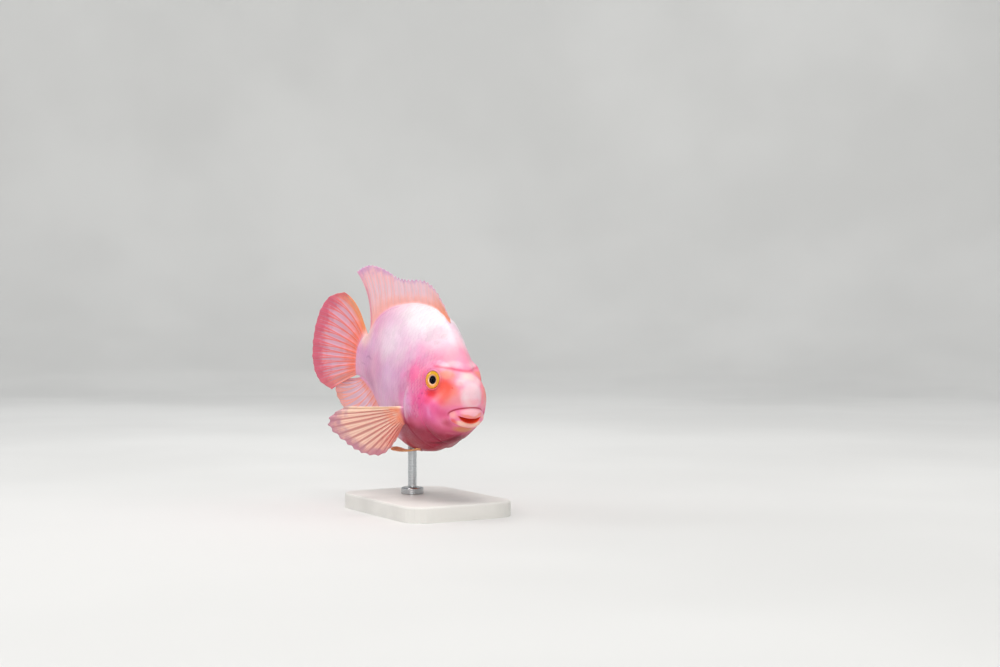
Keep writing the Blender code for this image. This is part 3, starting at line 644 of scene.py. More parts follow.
# %% Mottling
broad = ramp(cloud["Fac"], 0.38, 0.66)
colour = blend(0.35, colour, blend(broad, "d9a6c9", "ffe3e0"), "SOFT_LIGHT")
small = noise(given["Place"], 62.0, 4.0, 0.6)["Fac"]
on_cheek = spot(place, (0.23, 0.15, 0.01), (0.15, 0.12, 0.18), 0.2)
colour = blend(ramp(small, 0.545, 0.68) * (on_cheek * 0.42 + 0.08), colour, "c43d7e")
fill(result, {"Colour": colour, "Mottle": small})
print("markings group has", len(tree.nodes), "nodes")

# %% [markdown]
# ## The surface of skin
#
# Fish skin is wet and fine-grained: shallow pores, a faint network of creases, and a clear film
# over it all. One group makes that grain as a height, for the skin and the scales. The clear film
# is the coat of the Principled shader.

# %% Skin grain group
PORES_PER_UNIT = 190.0

tree, given, result = group("Skin grain", (("Place", "Vector", None), ("Fineness", "Float", 1.0)),
                            (("Height", "Float"),))
fine = given["Fineness"] * PORES_PER_UNIT
pores = put(tree, "TexVoronoi", {"Vector": given["Place"], "Scale": fine}, feature="DISTANCE_TO_EDGE")
creases = noise(given["Place"], fine * 0.5, 5.0)
fill(result, {"Height": ramp(pores["Distance"], 0.0, 0.10) * 0.35 + creases["Fac"]})


# %% Skin materials
def finish(name, roughness, coat=0.0, under=0.0, scatter=(1.0, 0.35, 0.3)):
    """A new Principled material, with a clear wet film and light that scatters under the skin."""
    made = bpy.data.materials.new(name)
    made.use_nodes = True
    shader = made.node_tree.nodes["Principled BSDF"]
    fill(shader, {"Roughness": roughness, "Coat Weight": coat, "Coat Roughness": 0.16,
                  "Subsurface Weight": under, "Subsurface Radius": scatter,
                  "Subsurface Scale": 0.0035, "IOR": 1.4, "Specular IOR Level": 0.38})
    return made, made.node_tree, shader


def raise_surface(shader, height, strength, distance):
    inputs = {"Height": height, "Strength": strength, "Distance": distance}
    fill(shader, {"Normal": put(height.tree, "Bump", inputs)["Normal"]})


def skin_looks(tree, fineness):
    """The markings and the grain at a point of the skin or of a scale."""
    place = read(tree, "rest")
    marks = use(tree, "Fish markings", {"Place": place, "Hoop": read(tree, "hoop", "Fac")})
    return marks, use(tree, "Skin grain", {"Place": place, "Fineness": fineness})["Height"]


def skin_material():
    made, tree, shader = finish("wet_skin", 0.46, 0.22, 0.22)
    marks, grain = skin_looks(tree, 1.0)
    fill(shader, {"Base Color": marks["Colour"], "Roughness": ramp(marks["Mottle"], 0.3, 0.7, 0.54, 0.40)})
    raise_surface(shader, grain, 0.35, 0.0002)
    return made


def scale_material():
    """As the skin, with a darker rim, a pale band of painted sheen before it, growth rings and a shade of its
    own.
    """
    made, tree, shader = finish("pearly_scales", 0.38, 0.28, 0.15)
    marks, grain = skin_looks(tree, 1.6)
    edge_in, _, chance = split(read(tree, "tile"))
    colour = blend(ramp(edge_in, 0.70, 1.00) * 0.10, marks["Colour"], "c77fae")
    # painted sheen: a pale band where each plate rises towards its edge
    painted_sheen = ramp(edge_in, 0.35, 0.75) * ramp(edge_in, 0.95, 0.75)
    colour = blend(painted_sheen * 0.10, colour, "fff2f6")
    shade = chance * 0.07 + 0.955
    colour = blend(1.0, colour, put(tree, "CombineColor", {0: shade, 1: shade, 2: shade})[0], "MULTIPLY")
    fill(shader, {"Base Color": colour})
    raise_surface(shader, maths("SINE", edge_in * 75.0) * 0.25 + grain, 0.25, 0.0001)
    return made


SKIN = skin_material()
SCALES = scale_material()

# %% [markdown]
# ## Making pieces from grids
#
# Every soft surface here is a grid of points with quads between them. One helper lists the
# quads, and another turns points and faces into a smooth object that carries its own values,
# such as each point's place in the straight fish, for the shaders to read.

# %% Piece helpers
def grid_faces(rows, columns, closed=True, start=0):
    """Quads between rows of points. closed joins each row's last point to its first."""
    row = np.arange(rows - 1)[:, None] * columns
    column = np.arange(columns if closed else columns - 1)[None, :]
    here, beside = row + column, row + (column + 1) % columns
    quads = np.stack([here, here + columns, beside + columns, beside], -1)
    return quads.reshape(-1, 4) + start


def piece(name, points, faces, material, slot, replaced=(), **values):
    """A smooth mesh object that rides on the model. values are read by the shaders."""
    mesh = bpy.data.meshes.new(name)
    mesh.from_pydata(np.asarray(points).tolist(), [], [list(map(int, face)) for face in faces])
    mesh.shade_smooth()
    mesh.materials.append(material)
    for label, numbers in values.items():
        numbers = np.asarray(numbers, float)
        kind, field = ("FLOAT", "value") if numbers.ndim == 1 else ("FLOAT_VECTOR", "vector")
        mesh.attributes.new(label, kind, "POINT").data.foreach_set(field, numbers.ravel())
    made = bpy.data.objects.new(name, mesh)
    FISH.objects.link(made)
    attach(made, "root")
    if replaced:
        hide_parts(*replaced)
    print(name, len(mesh.polygons), "faces")
    return made


# %% [markdown]
# ## The skin
#
# One skin covers the head, the trunk and the tail stalk, so no seam shows where the solids meet.
# It lies a third of a millimetre inside them, which leaves room for the scales. Behind the tail
# stalk it goes on as a wedge that thins into the tail fin, as the flesh of a real tail does.

# %% Skin shape
SKIN_INSET = 0.0019
WEDGE_LENGTH = 0.020
WEDGE_END = 22.0


def flesh_point(k, angle):
    """The skin at a hoop and an angle, carried on behind the tail stalk as a thinning wedge."""
    k, angle = np.broadcast_arrays(np.asarray(k, float), np.asarray(angle, float))
    out = skin_point(np.minimum(k, TAIL_ROOT), angle)
    on = np.clip(k - TAIL_ROOT, 0, 1)
    out[..., 0] += on * WEDGE_LENGTH * (1 + 0.4 * np.cos(np.radians(angle)) ** 2)
    out[..., 1] *= 1 - 0.90 * on**1.25
    out[..., 2] *= 1 + 0.03 * on
    return out


def outward(k, angle):
    """The outward direction of the skin with its relief."""
    return facing(flesh_point, k, angle, 0.02, 0.8)


# %% [markdown]
# ### Fine relief
#
# The solids hold the large forms. The skin adds the small ones: a sharp crease along the furrow,
# the two nostrils with their low rims, the slit behind the gill cover, the fold under the jaw,
# the fleshy pad at the corner of the mouth, and a slow unevenness that keeps it from looking cast.

# %% Fine relief
NOSTRIL_HOOP = 7.55
NOSTRIL_ANGLE = 50.0
JAW_FOLD = ((0.072, 0.004, -0.150), (0.097, 0.020, -0.171), (0.122, 0.034, -0.189), (0.152, 0.052, -0.200),
            (0.190, 0.074, -0.207))
CHEEK_FOLD = ((0.060, 0.084, -0.060), (0.070, 0.088, -0.080), (0.082, 0.090, -0.104))
MOUTH_PAD = ((0.040, 0.073, -0.066), (0.044, 0.074, -0.078))


def near_path(points, path):
    """Distance of each point from a path, folded onto one side of the fish."""
    folded = np.abs(points * np.array([0, 1, 0])) + points * np.array([1, 0, 1])
    best = np.full(points.shape[:-1], 9.0)
    for start, end in zip(np.array(path[:-1]), np.array(path[1:])):
        leg = end - start
        along = np.clip((folded - start) @ leg / (leg @ leg), 0, 1)
        best = np.minimum(best, np.linalg.norm(folded - start - along[..., None] * leg, axis=-1))
    return best


def fine_relief(k, point):
    """How far the skin's small forms stand out of the solids' shape."""
    s, y, z = point[..., 0], np.abs(point[..., 1]), point[..., 2]
    in_front = smooth_step(0.20, 0.16, s)
    crease = -0.0012 * bump(z, FURROW_HEIGHT, 0.0042) * in_front
    brow = 0.0008 * bump(z, FURROW_HEIGHT + 0.013, 0.0110) * in_front
    nostril = skin_point(NOSTRIL_HOOP, NOSTRIL_ANGLE)
    off = near_path(point, (nostril, nostril + 1e-4))
    nose = 0.0010 * bump(off, 0.0065, 0.0026) - 0.0050 * bump(off, 0.0, 0.0034)
    slit = -0.0050 * bump(k, GILL_EDGE + 0.07, 0.05)
    slit = slit * smooth_step(0.05, -0.02, z) * smooth_step(0.05, 0.09, y)
    jaw = -0.0016 * bump(near_path(point, JAW_FOLD), 0.0, 0.0055) * smooth_step(0.0, 0.02, y)
    cheek = -0.0022 * bump(near_path(point, CHEEK_FOLD), 0.0, 0.0042)
    pad = 0.0045 * bump(near_path(point, MOUTH_PAD), 0.0, 0.0120)
    slow = 0.0007 * np.sin(43 * s + 21 * z) * np.sin(37 * z - 29 * s + 11 * y)
    slow = slow * smooth_step(3.5, 6.0, k)
    return crease + brow + nose + slit + jaw + cheek + pad * (k > 2.6) + slow


# %% [markdown]
# Rings are set by distance, not by hoop number: close together on the head, where the detail is,
# and wider on the trunk, which the scales cover.

# %% Rings of the skin
AROUND = 288
HEAD_STEP = 0.0030
BODY_STEP = 0.0085


def ring_hoops():
    """Hoop numbers of the skin's rings, spaced by how far the body's surface moves."""
    fine = np.arange(0, WEDGE_END + 0.001, 0.01)
    rings = flesh_point(fine[:, None], np.arange(0, 360, 45.0)[None, :])
    moved = np.linalg.norm(np.diff(rings, axis=0), axis=-1).max(axis=1)
    wanted = HEAD_STEP + (BODY_STEP - HEAD_STEP) * smooth_step(13.2, 14.5, fine[1:])
    count = np.concatenate([[0], np.cumsum(moved / wanted)])
    chosen = np.interp(np.arange(0, count[-1]), count, fine)
    chosen = chosen[np.abs(chosen - GILL_EDGE) > 0.03]
    lips = (GILL_EDGE - 0.02, GILL_EDGE, GILL_EDGE + 0.003, GILL_EDGE + 0.03)
    return np.sort(np.concatenate([chosen, lips, [WEDGE_END]]))


hoops = ring_hoops()
angles = np.arange(AROUND) * 360 / AROUND
print(len(hoops), "rings of", AROUND, "points")

# %% [markdown]
# ### The eye sockets
#
# Round each eye the skin is flat, so it can be pushed straight in behind the eyeball. A separate
# ring of skin, part of the same mesh, then makes the soft raised rim that fits the ball closely.

# %% Sockets and rims
SOCKET_REACH = 0.042
SOCKET_DEPTH = 0.014
# Radius and height of the rim's rings, from the outside in
RIM = ((0.0490, -0.0028), (0.0478, -0.0022), (0.0466, -0.0016), (0.0454, -0.0009), (0.0442, -0.0002),
       (0.0431, 0.0005), (0.0421, 0.0010), (0.0412, 0.0012), (0.0404, 0.0010), (0.0397, 0.0003),
       (0.0392, -0.0009), (0.0388, -0.0026), (0.0380, -0.0060), (0.0360, -0.0110))
RIM_POINTS = 120


def eye_axes(side):
    """Seat, and right, up and outward directions of an eye, in the straight fish."""
    seat, look = eye_seat(side)
    level = unit(np.cross(np.array([0, 0, 1.0]), look))
    return seat, level, np.cross(look, level), look


def press_sockets(points):
    """Pushes the skin in behind each eyeball."""
    for side, _ in SIDES:
        seat, look = eye_seat(side)
        depth, away = off_seat(points, seat, look)
        push = SOCKET_DEPTH * smooth_step(SOCKET_REACH, SOCKET_REACH - 0.009, away) * (np.abs(depth) < 0.03)
        points = points - push[..., None] * look
    return points


def eye_rim(side):
    """The ring of skin round one eye: rows of points from the outside in."""
    seat, level, up, look = eye_axes(side)
    turn = np.linspace(0, 2 * np.pi, RIM_POINTS, endpoint=False)[None, :, None]
    reach, depth = np.array(RIM).T[:, :, None, None]
    puff = 1 + 0.25 * np.sin(turn + 0.4) * (depth > 0)
    return seat + reach * (np.cos(turn) * level + np.sin(turn) * up) + depth * puff * look


# %% Skin piece
grid = flesh_point(hoops[:, None], angles[None, :])
lift = fine_relief(hoops[:, None], grid) - SKIN_INSET
grid = press_sockets(grid + outward(hoops[:, None], angles[None, :]) * lift[..., None])
ends = np.stack([grid[0].mean(axis=0), grid[-1].mean(axis=0)])
straight = np.concatenate([grid.reshape(-1, 3), ends])
hoop_values = np.concatenate([np.repeat(hoops, AROUND), [0, WEDGE_END]])
faces = [*grid_faces(len(hoops), AROUND)]
last = (len(hoops) - 1) * AROUND
beside = (np.arange(AROUND) + 1) % AROUND
faces += [(len(straight) - 2, i, beside[i]) for i in range(AROUND)]
faces += [(len(straight) - 1, last + beside[i], last + i) for i in range(AROUND)]
for side, _ in SIDES:
    rim = eye_rim(side)
    quads = grid_faces(len(rim), RIM_POINTS, start=len(straight))
    faces += [*(quads[:, ::-1] if side > 0 else quads)]
    straight = np.concatenate([straight, rim.reshape(-1, 3)])
    hoop_values = np.concatenate([hoop_values, np.full(rim[..., 0].size, EYE_HOOP)])
piece("skin", posed(straight), faces, SKIN, "skin", ("head", "trunk", "tail_stalk"),
      rest=straight, hoop=hoop_values)

# %% [markdown]
# ## Scales
#
# Each scale is a thin plate rooted in the skin. Its front is buried, its middle rises up to 0.2 mm
# over the skin, and its rounded rear edge lies nearly flush again. Rows run along the flank, each
# half a scale off its neighbour, and the scales shrink towards the tail and on the gill cover.
# They could be painted or left to a bump map, but real plates catch the light along their edges
# from every side, so they are built. The low breast, just behind the gill cover, stays smooth,
# because the skin turns under so sharply there that plates would sink into it.

# %% Places of the scales
SCALE_LENGTH = 0.029
ROW_HEIGHT = 0.0285
TURNS = np.linspace(-87, 87, 175)


def scale_places(start, stop, size, low, high):
    """Hoop, angle and size of each scale on the left side, from one hoop to another.

    size is read at a hoop, as a share of a flank scale. low and high are the lowest and highest
    angle that a row may reach."""
    fine = np.arange(start, stop, 0.01)
    rail_line = flesh_point(fine, np.zeros(len(fine)))
    moved = np.linalg.norm(np.diff(rail_line, axis=0), axis=-1) / (SCALE_LENGTH * size(fine[1:]))
    count = np.concatenate([[0], np.cumsum(moved)])
    found = []
    for half_step in range(int(2 * count[-1]) + 1):
        k = float(np.interp(half_step / 2, count, fine))
        ring = flesh_point(np.full(len(TURNS), k), TURNS)
        arc = np.concatenate([[0], np.cumsum(np.linalg.norm(np.diff(ring, axis=0), axis=-1))])
        arc = arc - np.interp(0, TURNS, arc)
        share = float(size(k))
        rows = np.arange(-40, 41)
        rows = rows[(rows + half_step) % 2 == 0] * ROW_HEIGHT * share
        rows = rows[(rows > arc[0]) & (rows < arc[-1])]
        turn = np.interp(rows, arc, TURNS)
        keep = (turn > low) & (turn < high)
        found += [(k, t, share) for t in turn[keep]]
    return np.array(found)


def sizes(first, change, start, stop):
    """The size of the scales from hoop to hoop: first, with a change from start to stop."""
    return lambda k: first + change * smooth_step(start, stop, k)


# The smooth breast ends at this hoop, and lies below this angle
BREAST_END = 14.6
BREAST_ANGLE = -30.0

flank = scale_places(13.12, 21.30, sizes(1.0, -0.40, 17.0, 20.8), -84, 86)
flank = flank[(flank[:, 0] > BREAST_END) | (flank[:, 1] > BREAST_ANGLE)]
nape = scale_places(11.50, 13.10, sizes(0.62, 0.38, 11.5, 14.0), 56, 86)
cover = scale_places(10.75, 12.95, sizes(0.52, 0.12, 10.0, 13.0), -24, 50)
print(len(flank), "scales on a flank,", len(nape), "on the nape,", len(cover), "on a gill cover")

# %% [markdown]
# A scale's plate is a small grid. Each of its points is moved over the curved skin, not through
# it: the wanted step is solved in hoops and degrees, and the point is read from the skin there.

# %% Shape of the scales
SCALE_ROWS = 9
SCALE_COLUMNS = 9
SCALE_SPAN = 2.15
SCALE_WIDTH = 1.12
ROOT_SINK = 0.0012
SIDE_SINK = 0.0004
LEAST_RISE = 0.0003
EDGE_RISE = 0.0008
COVER_RISE = 0.20
SCALE_THICKNESS = 0.0004
SIZE_JITTER = 0.03
SLIT_TOP = 54


def scale_outline():
    """Grid of one scale: how far back from its root, and across, in scale lengths and rows."""
    back = np.linspace(0, 1, SCALE_ROWS)[:, None]
    across = np.linspace(-1, 1, SCALE_COLUMNS)[None, :]
    round_edge = 1 - 0.42 * np.abs(across) ** 2.2
    half = SCALE_WIDTH * (0.55 + 0.45 * np.sin(np.pi * np.clip(back * 0.95 + 0.02, 0, 1)) ** 0.7)
    return SCALE_SPAN * back * round_edge, across * half


def over_skin(k, angle, back, up):
    """Hoops and angles of points that lie some way back of and above each seat, over the skin."""
    by_hoop = (flesh_point(k + 0.02, angle) - flesh_point(k - 0.02, angle)) / 0.04
    by_turn = flesh_point(k, angle + 0.5) - flesh_point(k, angle - 0.5)
    out = unit(np.cross(by_turn, by_hoop))
    rear = unit(np.array([1.0, 0, 0]) - out * out[:, :1])[:, None, None, :]
    step = back[..., None] * rear + up[..., None] * np.cross(out[:, None, None, :], rear)
    solve = np.linalg.pinv(np.stack([by_hoop, by_turn], -1))
    moved = np.einsum("nij,nrcj->nrci", solve, step)
    k, angle = k[:, None, None], angle[:, None, None]
    hoop = np.clip(k + moved[..., 0], k.min() - 0.1, WEDGE_END - 0.05)
    # Beside the slit, no scale crosses from the gill cover to the flank or back
    beside_slit = np.abs(np.sin(np.radians(angle))) < math.sin(math.radians(SLIT_TOP))
    kept = np.where(k < GILL_EDGE, np.minimum(hoop, GILL_EDGE), np.maximum(hoop, GILL_EDGE + 0.012))
    return np.where(beside_slit, kept, hoop), angle + moved[..., 1]


def scale_height(hoop, angle, size, back, across):
    """How far the points of a scale stand out of the solids' shape, from its root to its edge."""
    on_top = smooth_step(44, 58, above_rail(angle))
    fade = smooth_step(0, 1.6, hoop - GILL_EDGE + 1.5 * on_top)
    fade = np.where((hoop <= GILL_EDGE) & (on_top < 0.5), COVER_RISE, fade)
    tip = np.clip(back / 0.84, 0, 1) - 0.36 * smooth_step(0.80, 1.0, back)
    rise = EDGE_RISE * fade * size + ROOT_SINK + LEAST_RISE
    return rise * tip - SKIN_INSET - ROOT_SINK - SIDE_SINK * (np.abs(across) / SCALE_WIDTH) ** 2


def lay_scales(places, side, seed):
    """Points of every scale's upper face, in the straight fish, and each point's own values."""
    draw = np.random.default_rng(seed)
    k, turn, share = places.T
    angle = turn if side > 0 else 180 - turn
    size = (share * (1 + draw.normal(0, SIZE_JITTER, (3, len(k)))[0]))[:, None, None]
    back, across = scale_outline()
    lengths = (back - 0.55 * SCALE_SPAN) * SCALE_LENGTH * size
    hoop, turned = over_skin(k, angle, lengths, across * ROW_HEIGHT * size)
    height = scale_height(hoop, turned, size, back / SCALE_SPAN, across)
    out = outward(hoop, turned)
    sides = np.abs(np.linspace(-1, 1, SCALE_COLUMNS))
    edge_in = np.maximum(np.linspace(0, 1, SCALE_ROWS)[:, None], sides * 0.98)
    chance = draw.random(len(k))[:, None, None]
    tile = np.stack([np.broadcast_to(values, hoop.shape) for values in (edge_in, across, chance)], -1)
    return flesh_point(hoop, turned) + out * height[..., None], out, tile, hoop


# %% [markdown]
# The upper face is closed with a lower one less than a tenth of a millimetre below, so each scale
# is a solid plate. For baking, each scale also gets its own small patch on a flat map of the skin,
# at the place where it is rooted.

# %% Scale pieces
PATCH = 0.003


def scale_faces():
    """Faces of one scale: the upper face, the lower face and the rim between them."""
    count = SCALE_ROWS * SCALE_COLUMNS
    upper = grid_faces(SCALE_ROWS, SCALE_COLUMNS, closed=False)
    top = list(range(SCALE_COLUMNS))
    right = [r * SCALE_COLUMNS + SCALE_COLUMNS - 1 for r in range(1, SCALE_ROWS)]
    bottom = [(SCALE_ROWS - 1) * SCALE_COLUMNS + c for c in range(SCALE_COLUMNS - 2, -1, -1)]
    left = [r * SCALE_COLUMNS for r in range(SCALE_ROWS - 2, 0, -1)]
    loop = np.array(top + right + bottom + left)
    beside = np.roll(loop, -1)
    rim = np.stack([loop, beside, beside + count, loop + count], -1)
    return np.concatenate([upper, upper[:, ::-1] + count, rim])


def scales_piece(name, places, side, seed):
    points, out, tile, hoop = lay_scales(places, side, seed)
    # Each scale's upper points, then its lower ones
    both = np.stack([points, points - out * SCALE_THICKNESS], 1).reshape(-1, 3)
    starts = np.arange(len(points)) * 2 * SCALE_ROWS * SCALE_COLUMNS
    faces = (scale_faces()[None] + starts[:, None, None]).reshape(-1, 4)
    if side > 0:
        faces = faces[:, ::-1]
    made = piece(name, posed(both), faces, SCALES, "skin", rest=both,
                 tile=np.stack([tile, tile], 1).reshape(-1, 3), hoop=np.stack([hoop, hoop], 1).ravel())
    k, turn, _ = places.T
    root = np.stack([(turn if side > 0 else 180 - turn) / 360 % 1, k / WEDGE_END], -1) * 0.98 + 0.01
    rows, columns = np.linspace(0, 1, SCALE_ROWS), np.linspace(0, 1, SCALE_COLUMNS)
    local = np.stack(np.meshgrid(rows, columns, indexing="ij"), -1)
    local = np.tile(local.reshape(-1, 2), (2, 1)) * PATCH
    flat = (root[:, None, :] + local[None]).reshape(-1, 2)
    made.data.set_sharp_from_angle(angle=math.radians(50))
    layer = made.data.uv_layers.new(name="OFBake")
    corners = np.empty(len(made.data.loops), int)
    made.data.loops.foreach_get("vertex_index", corners)
    layer.data.foreach_set("uv", flat[corners].ravel())
    return made


for side, word in SIDES:
    scales_piece(f"scales_{word}", np.concatenate([nape, flank]), side, 11 + side)
    scales_piece(f"cover_scales_{word}", cover, side, 31 + side)

# %% [markdown]
# ## Fins
#
# A fin is a thin membrane stretched over rays. The spines in front are single and stiff, and the
# membrane dips between their tips. The soft rays behind fork twice on their way out, and the
# dips between them are slight. One sheet holds all of it: its middle surface runs from the root
# line to the margin, and its thickness rises over each ray and fork. Solid rays under a separate
# membrane would cross it, so the ridges belong to the sheet itself.

# %% Sheet of a fin
PER_RAY = 14
FIN_ROWS = 46
FIN_SUNK = 0.035
# How far a ray forks, then its twigs, in spacings of the rays
FORK = 0.24
TWIG = 0.115
# Half the width of a ray's ridge at its root, and how much narrower it and a spine get outwards
RAY_WIDTH, RAY_TAPER, SPINE_TAPER = 0.155, 0.080, 0.020


def swept(count, knots):
    """Values for each of count rays, on the smoothest curve through evenly spaced knots."""
    knots = np.asarray(knots, float)
    last = len(knots) - 1
    link, pull = np.eye(last + 1), np.zeros(last + 1)
    for i in range(1, last):
        link[i, i - 1:i + 2] = (1, 4, 1)
        pull[i] = 6 * (knots[i - 1] - 2 * knots[i] + knots[i + 1])
    bend = np.linalg.solve(link, pull)
    k = np.linspace(0, last, count)
    i = np.clip(k.astype(int), 0, last - 1)
    t = k - i
    near, far = 1 - t, t
    pulled = ((far**3 - far) * bend[i + 1] + (near**3 - near) * bend[i]) / 6
    return near * knots[i] + far * knots[i + 1] + pulled


def swept_points(count, knots):
    """Points for each of count rays, on the smoothest curves through the knots' coordinates."""
    return np.stack([swept(count, column) for column in zip(*knots)], -1)


def fin_sheet(roots, tips, bow, spines, dip, pleat, hang):
    """Middle sheet of a fin in the straight fish, with how far out, how much on a ray and how deep
    in a fold each point is, and how far it swings off the sheet. pleat swings the rays to either
    side by turns, and hang lets the web sag between them."""
    count = len(roots)
    u = np.linspace(0, count - 1, (count - 1) * PER_RAY + 1)
    v = np.linspace(0, 1, FIN_ROWS) ** 0.92 * (1 + FIN_SUNK) - FIN_SUNK
    root, tip, curve = (np.stack([through(column, u) for column in np.transpose(values)], -1)
                        for values in (roots, tips, bow))
    soft = smooth_step(spines - 0.6, spines - 0.4, u)[None, :]
    u, v = u[None, :], v[:, None]
    web = np.sin(np.pi * u) ** 2
    dips = np.where(soft > 0.5, dip[1], dip[0])
    reach = 1 - dips * np.abs(web) ** (1.2 - 0.4 * soft) * np.clip(v, 0, 1) ** 3
    sheet = root + (tip - root) * (v * reach)[..., None] + curve * (4 * v * (1 - v))[..., None]
    near = u - np.round(u)
    fork = FORK * smooth_step(0.25, 1.0, v) * soft
    twig = TWIG * smooth_step(0.55, 1.0, v) * soft
    width = RAY_WIDTH - RAY_TAPER * v - SPINE_TAPER * (1 - soft) * v
    ray = np.zeros_like(near * v)
    for a in (-1, 1):
        for b in (-1, 1):
            ray = np.maximum(ray, bump(near, a * fork + b * twig, width))
    out = np.clip(v, 0, 1)
    grown = smooth_step(0.0, 0.25, v) * (1 - 0.45 * out)
    swing = (pleat * np.cos(np.pi * u) - hang * web) * grown
    return sheet, np.broadcast_to(out, ray.shape), ray, web * np.sqrt(grown), swing


# %% [markdown]
# The two faces of the sheet are laid out as one ring of points per row, out along one face and
# back along the other, so the leading and trailing edges close by themselves. The margin is
# closed with a last strip of faces.

# %% Fin pieces
WEB_HALF = 0.00016
RAY_HALF = 0.00052
RAY_TIP_HALF = 0.00022
MARGIN_HALF = 0.00010
EDGE_POINTS = 4


def sheet_normals(grid):
    return unit(np.cross(np.gradient(grid, axis=1), np.gradient(grid, axis=0)))


def fin_piece(name, kind, roots, tips, bow, spines, dip, root_half, flesh, pleat, hang, flip):
    """One fin as a closed solid. kind is the name of its finish, and flesh is how far out its
    fleshy root reaches, as a share."""
    straight, out, ray, fold, swing = fin_sheet(roots, tips, bow, spines, dip, pleat, hang)
    middle = posed(straight)
    middle = middle + sheet_normals(middle) * swing[..., None]
    normal = sheet_normals(middle)
    ray_half = RAY_HALF + (RAY_TIP_HALF - RAY_HALF) * out
    half = WEB_HALF + (ray_half - WEB_HALF) * ray
    half = half + (root_half - half) * np.clip(1 - out / flesh, 0, 1) ** 2
    half = half + (MARGIN_HALF - half) * smooth_step(0.985, 1.0, out)
    rows, columns = half.shape
    # The first and the last ray are rounded off at the sheet's two free edges
    inwards = np.minimum(np.arange(columns), np.arange(columns)[::-1]) / EDGE_POINTS
    half = half * np.where(inwards < 1, np.sqrt(np.clip(1 - (1 - inwards) ** 2, 0.02, 1)), 1)

    def ring(front, back):
        return np.concatenate([front, back[:, ::-1]], axis=1)

    points = ring(*(middle + sign * normal * half[..., None] for sign in (1, -1)))
    around = 2 * columns
    top = (rows - 1) * around
    c = np.arange(columns - 1)
    margin = np.stack([top + c, top + around - 1 - c, top + around - 2 - c, top + c + 1], -1)
    root = np.stack([c, c + 1, around - 2 - c, around - 1 - c], -1)
    faces = np.concatenate([grid_faces(rows, around), margin, root])
    if flip:
        faces = faces[:, ::-1]
    lead = np.broadcast_to(np.linspace(0, 1, columns), out.shape)
    values = {"out": out, "ray": ray, "fold": fold, "lead": lead}
    return piece(name + "_sheet", points.reshape(-1, 3), faces, FIN_LOOKS[kind], "fin", (name,),
                 rest=ring(straight, straight).reshape(-1, 3),
                 **{label: ring(value, value).ravel() for label, value in values.items()})


# %% [markdown]
# ### Colours of the fins
# All the fins share one plan: a colour at the root, one on the rays, one on the membrane between
# them, a darker one in its folds, which is painted shade, and one towards the margin, with tones of
# their own for the first and the last rays. One group holds the plan, and each fin's material gives
# it that fin's own colours and widths. The rays also show fine cross bands, the joints of a soft
# ray, as a height for the bump.

# %% Fin colour group
FIN_PARTS = ("Root", "Ray", "Web", "Fold", "Margin", "First", "Last")
FIN_AMOUNTS = ("Root reach", "Margin reach", "Web amount", "Fold amount", "First reach", "Last reach")
FIN_VALUES = ("Out", "Ray", "Fold", "Lead")

inputs = [("Place", "Vector", None)] + [(part + " colour", "Color", None) for part in FIN_PARTS]
inputs += [(label, "Float", 0.0) for label in FIN_VALUES + FIN_AMOUNTS]
outputs = (("Colour", "Color"), ("Height", "Float"), ("Web", "Float"))
tree, given, result = group("Fin colours", inputs, outputs)
streak = noise(given["Place"], 26.0, 3.0)["Fac"]
out = given["Out"] + (streak - 0.5) * 0.45
web = ramp(given["Ray"], 0.90, 0.25) * given["Web amount"]
through_web = 1.0 - web * 0.30
inner = ramp(out, 1.0, 0.55, 0.25, 0.85)
colour = given["Ray colour"]
for part, mask in (
    ("Web", web),
    # painted shade down the middle of each fold of the membrane
    ("Fold", ramp(given["Fold"], 0.35, 1.0) * given["Fold amount"]),
    ("Margin", ramp(out - given["Margin reach"], 0.0, 0.26) * through_web),
    ("Root", ramp(out / given["Root reach"], 1.25, 0.25) * through_web),
    ("First", ramp(given["Lead"] / given["First reach"], 1.0, 0.1) * inner),
    ("Last", ramp((1.0 - given["Lead"]) / given["Last reach"], 1.0, 0.1) * inner),
):
    colour = blend(mask, colour, given[part + " colour"])
bands = maths("SINE", given["Out"] * 330.0) * (given["Ray"] * 0.2)
fill(result, {"Colour": colour, "Height": bands + streak * 0.4, "Web": web})

# %% Fin materials
# How much of the light the thinnest membrane lets straight through
FIN_CLEAR = 0.16
# A hoop of the trunk, where the markings have no lines of their own
BARE_HOOP = 18.0
# How far out the body's own markings reach on each fin
FIN_SKIN = {"dorsal": 0.10, "anal": 0.10, "tail": 0.15, "pectoral": 0.06, "pelvic": 0.02}
FIN_TONES = {
    # root, ray, web, fold (painted shade in the folds), margin, first rays, last rays
    "dorsal": ("fbaea4", "fab6b8", "f8dae8", "ecb8c8", "d094c2", "f28e68", "e48a9c"),
    "anal": ("f4907e", "f8a294", "ecc6de", "cc8ca0", "f09884", "ea8e88", "dc8e9c"),
    "tail": ("f87858", "f08280", "f0c4de", "bc84a0", "d65c76", "f09080", "f89a60"),
    "pectoral": ("fc9a78", "fcd2c0", "f09c8c", "b45c62", "c0869a", "fcdcba", "e4746e"),
    "pelvic": ("e2885c", "eba060", "df8a6a", "bc6440", "e89246", "eba868", "df8a66"),
}
FIN_SPREADS = {
    # root reach, margin reach, web amount, fold amount, reach of the first rays and of the last
    "dorsal": (0.45, 0.80, 0.60, 0.25, 0.34, 0.06),
    "anal": (0.28, 0.78, 0.80, 0.30, 0.06, 0.10),
    "tail": (0.48, 0.66, 0.75, 0.25, 0.22, 0.15),
    "pectoral": (0.20, 0.73, 0.50, 0.72, 0.12, 0.50),
    "pelvic": (0.40, 0.85, 0.80, 0.40, 0.20, 0.20),
}


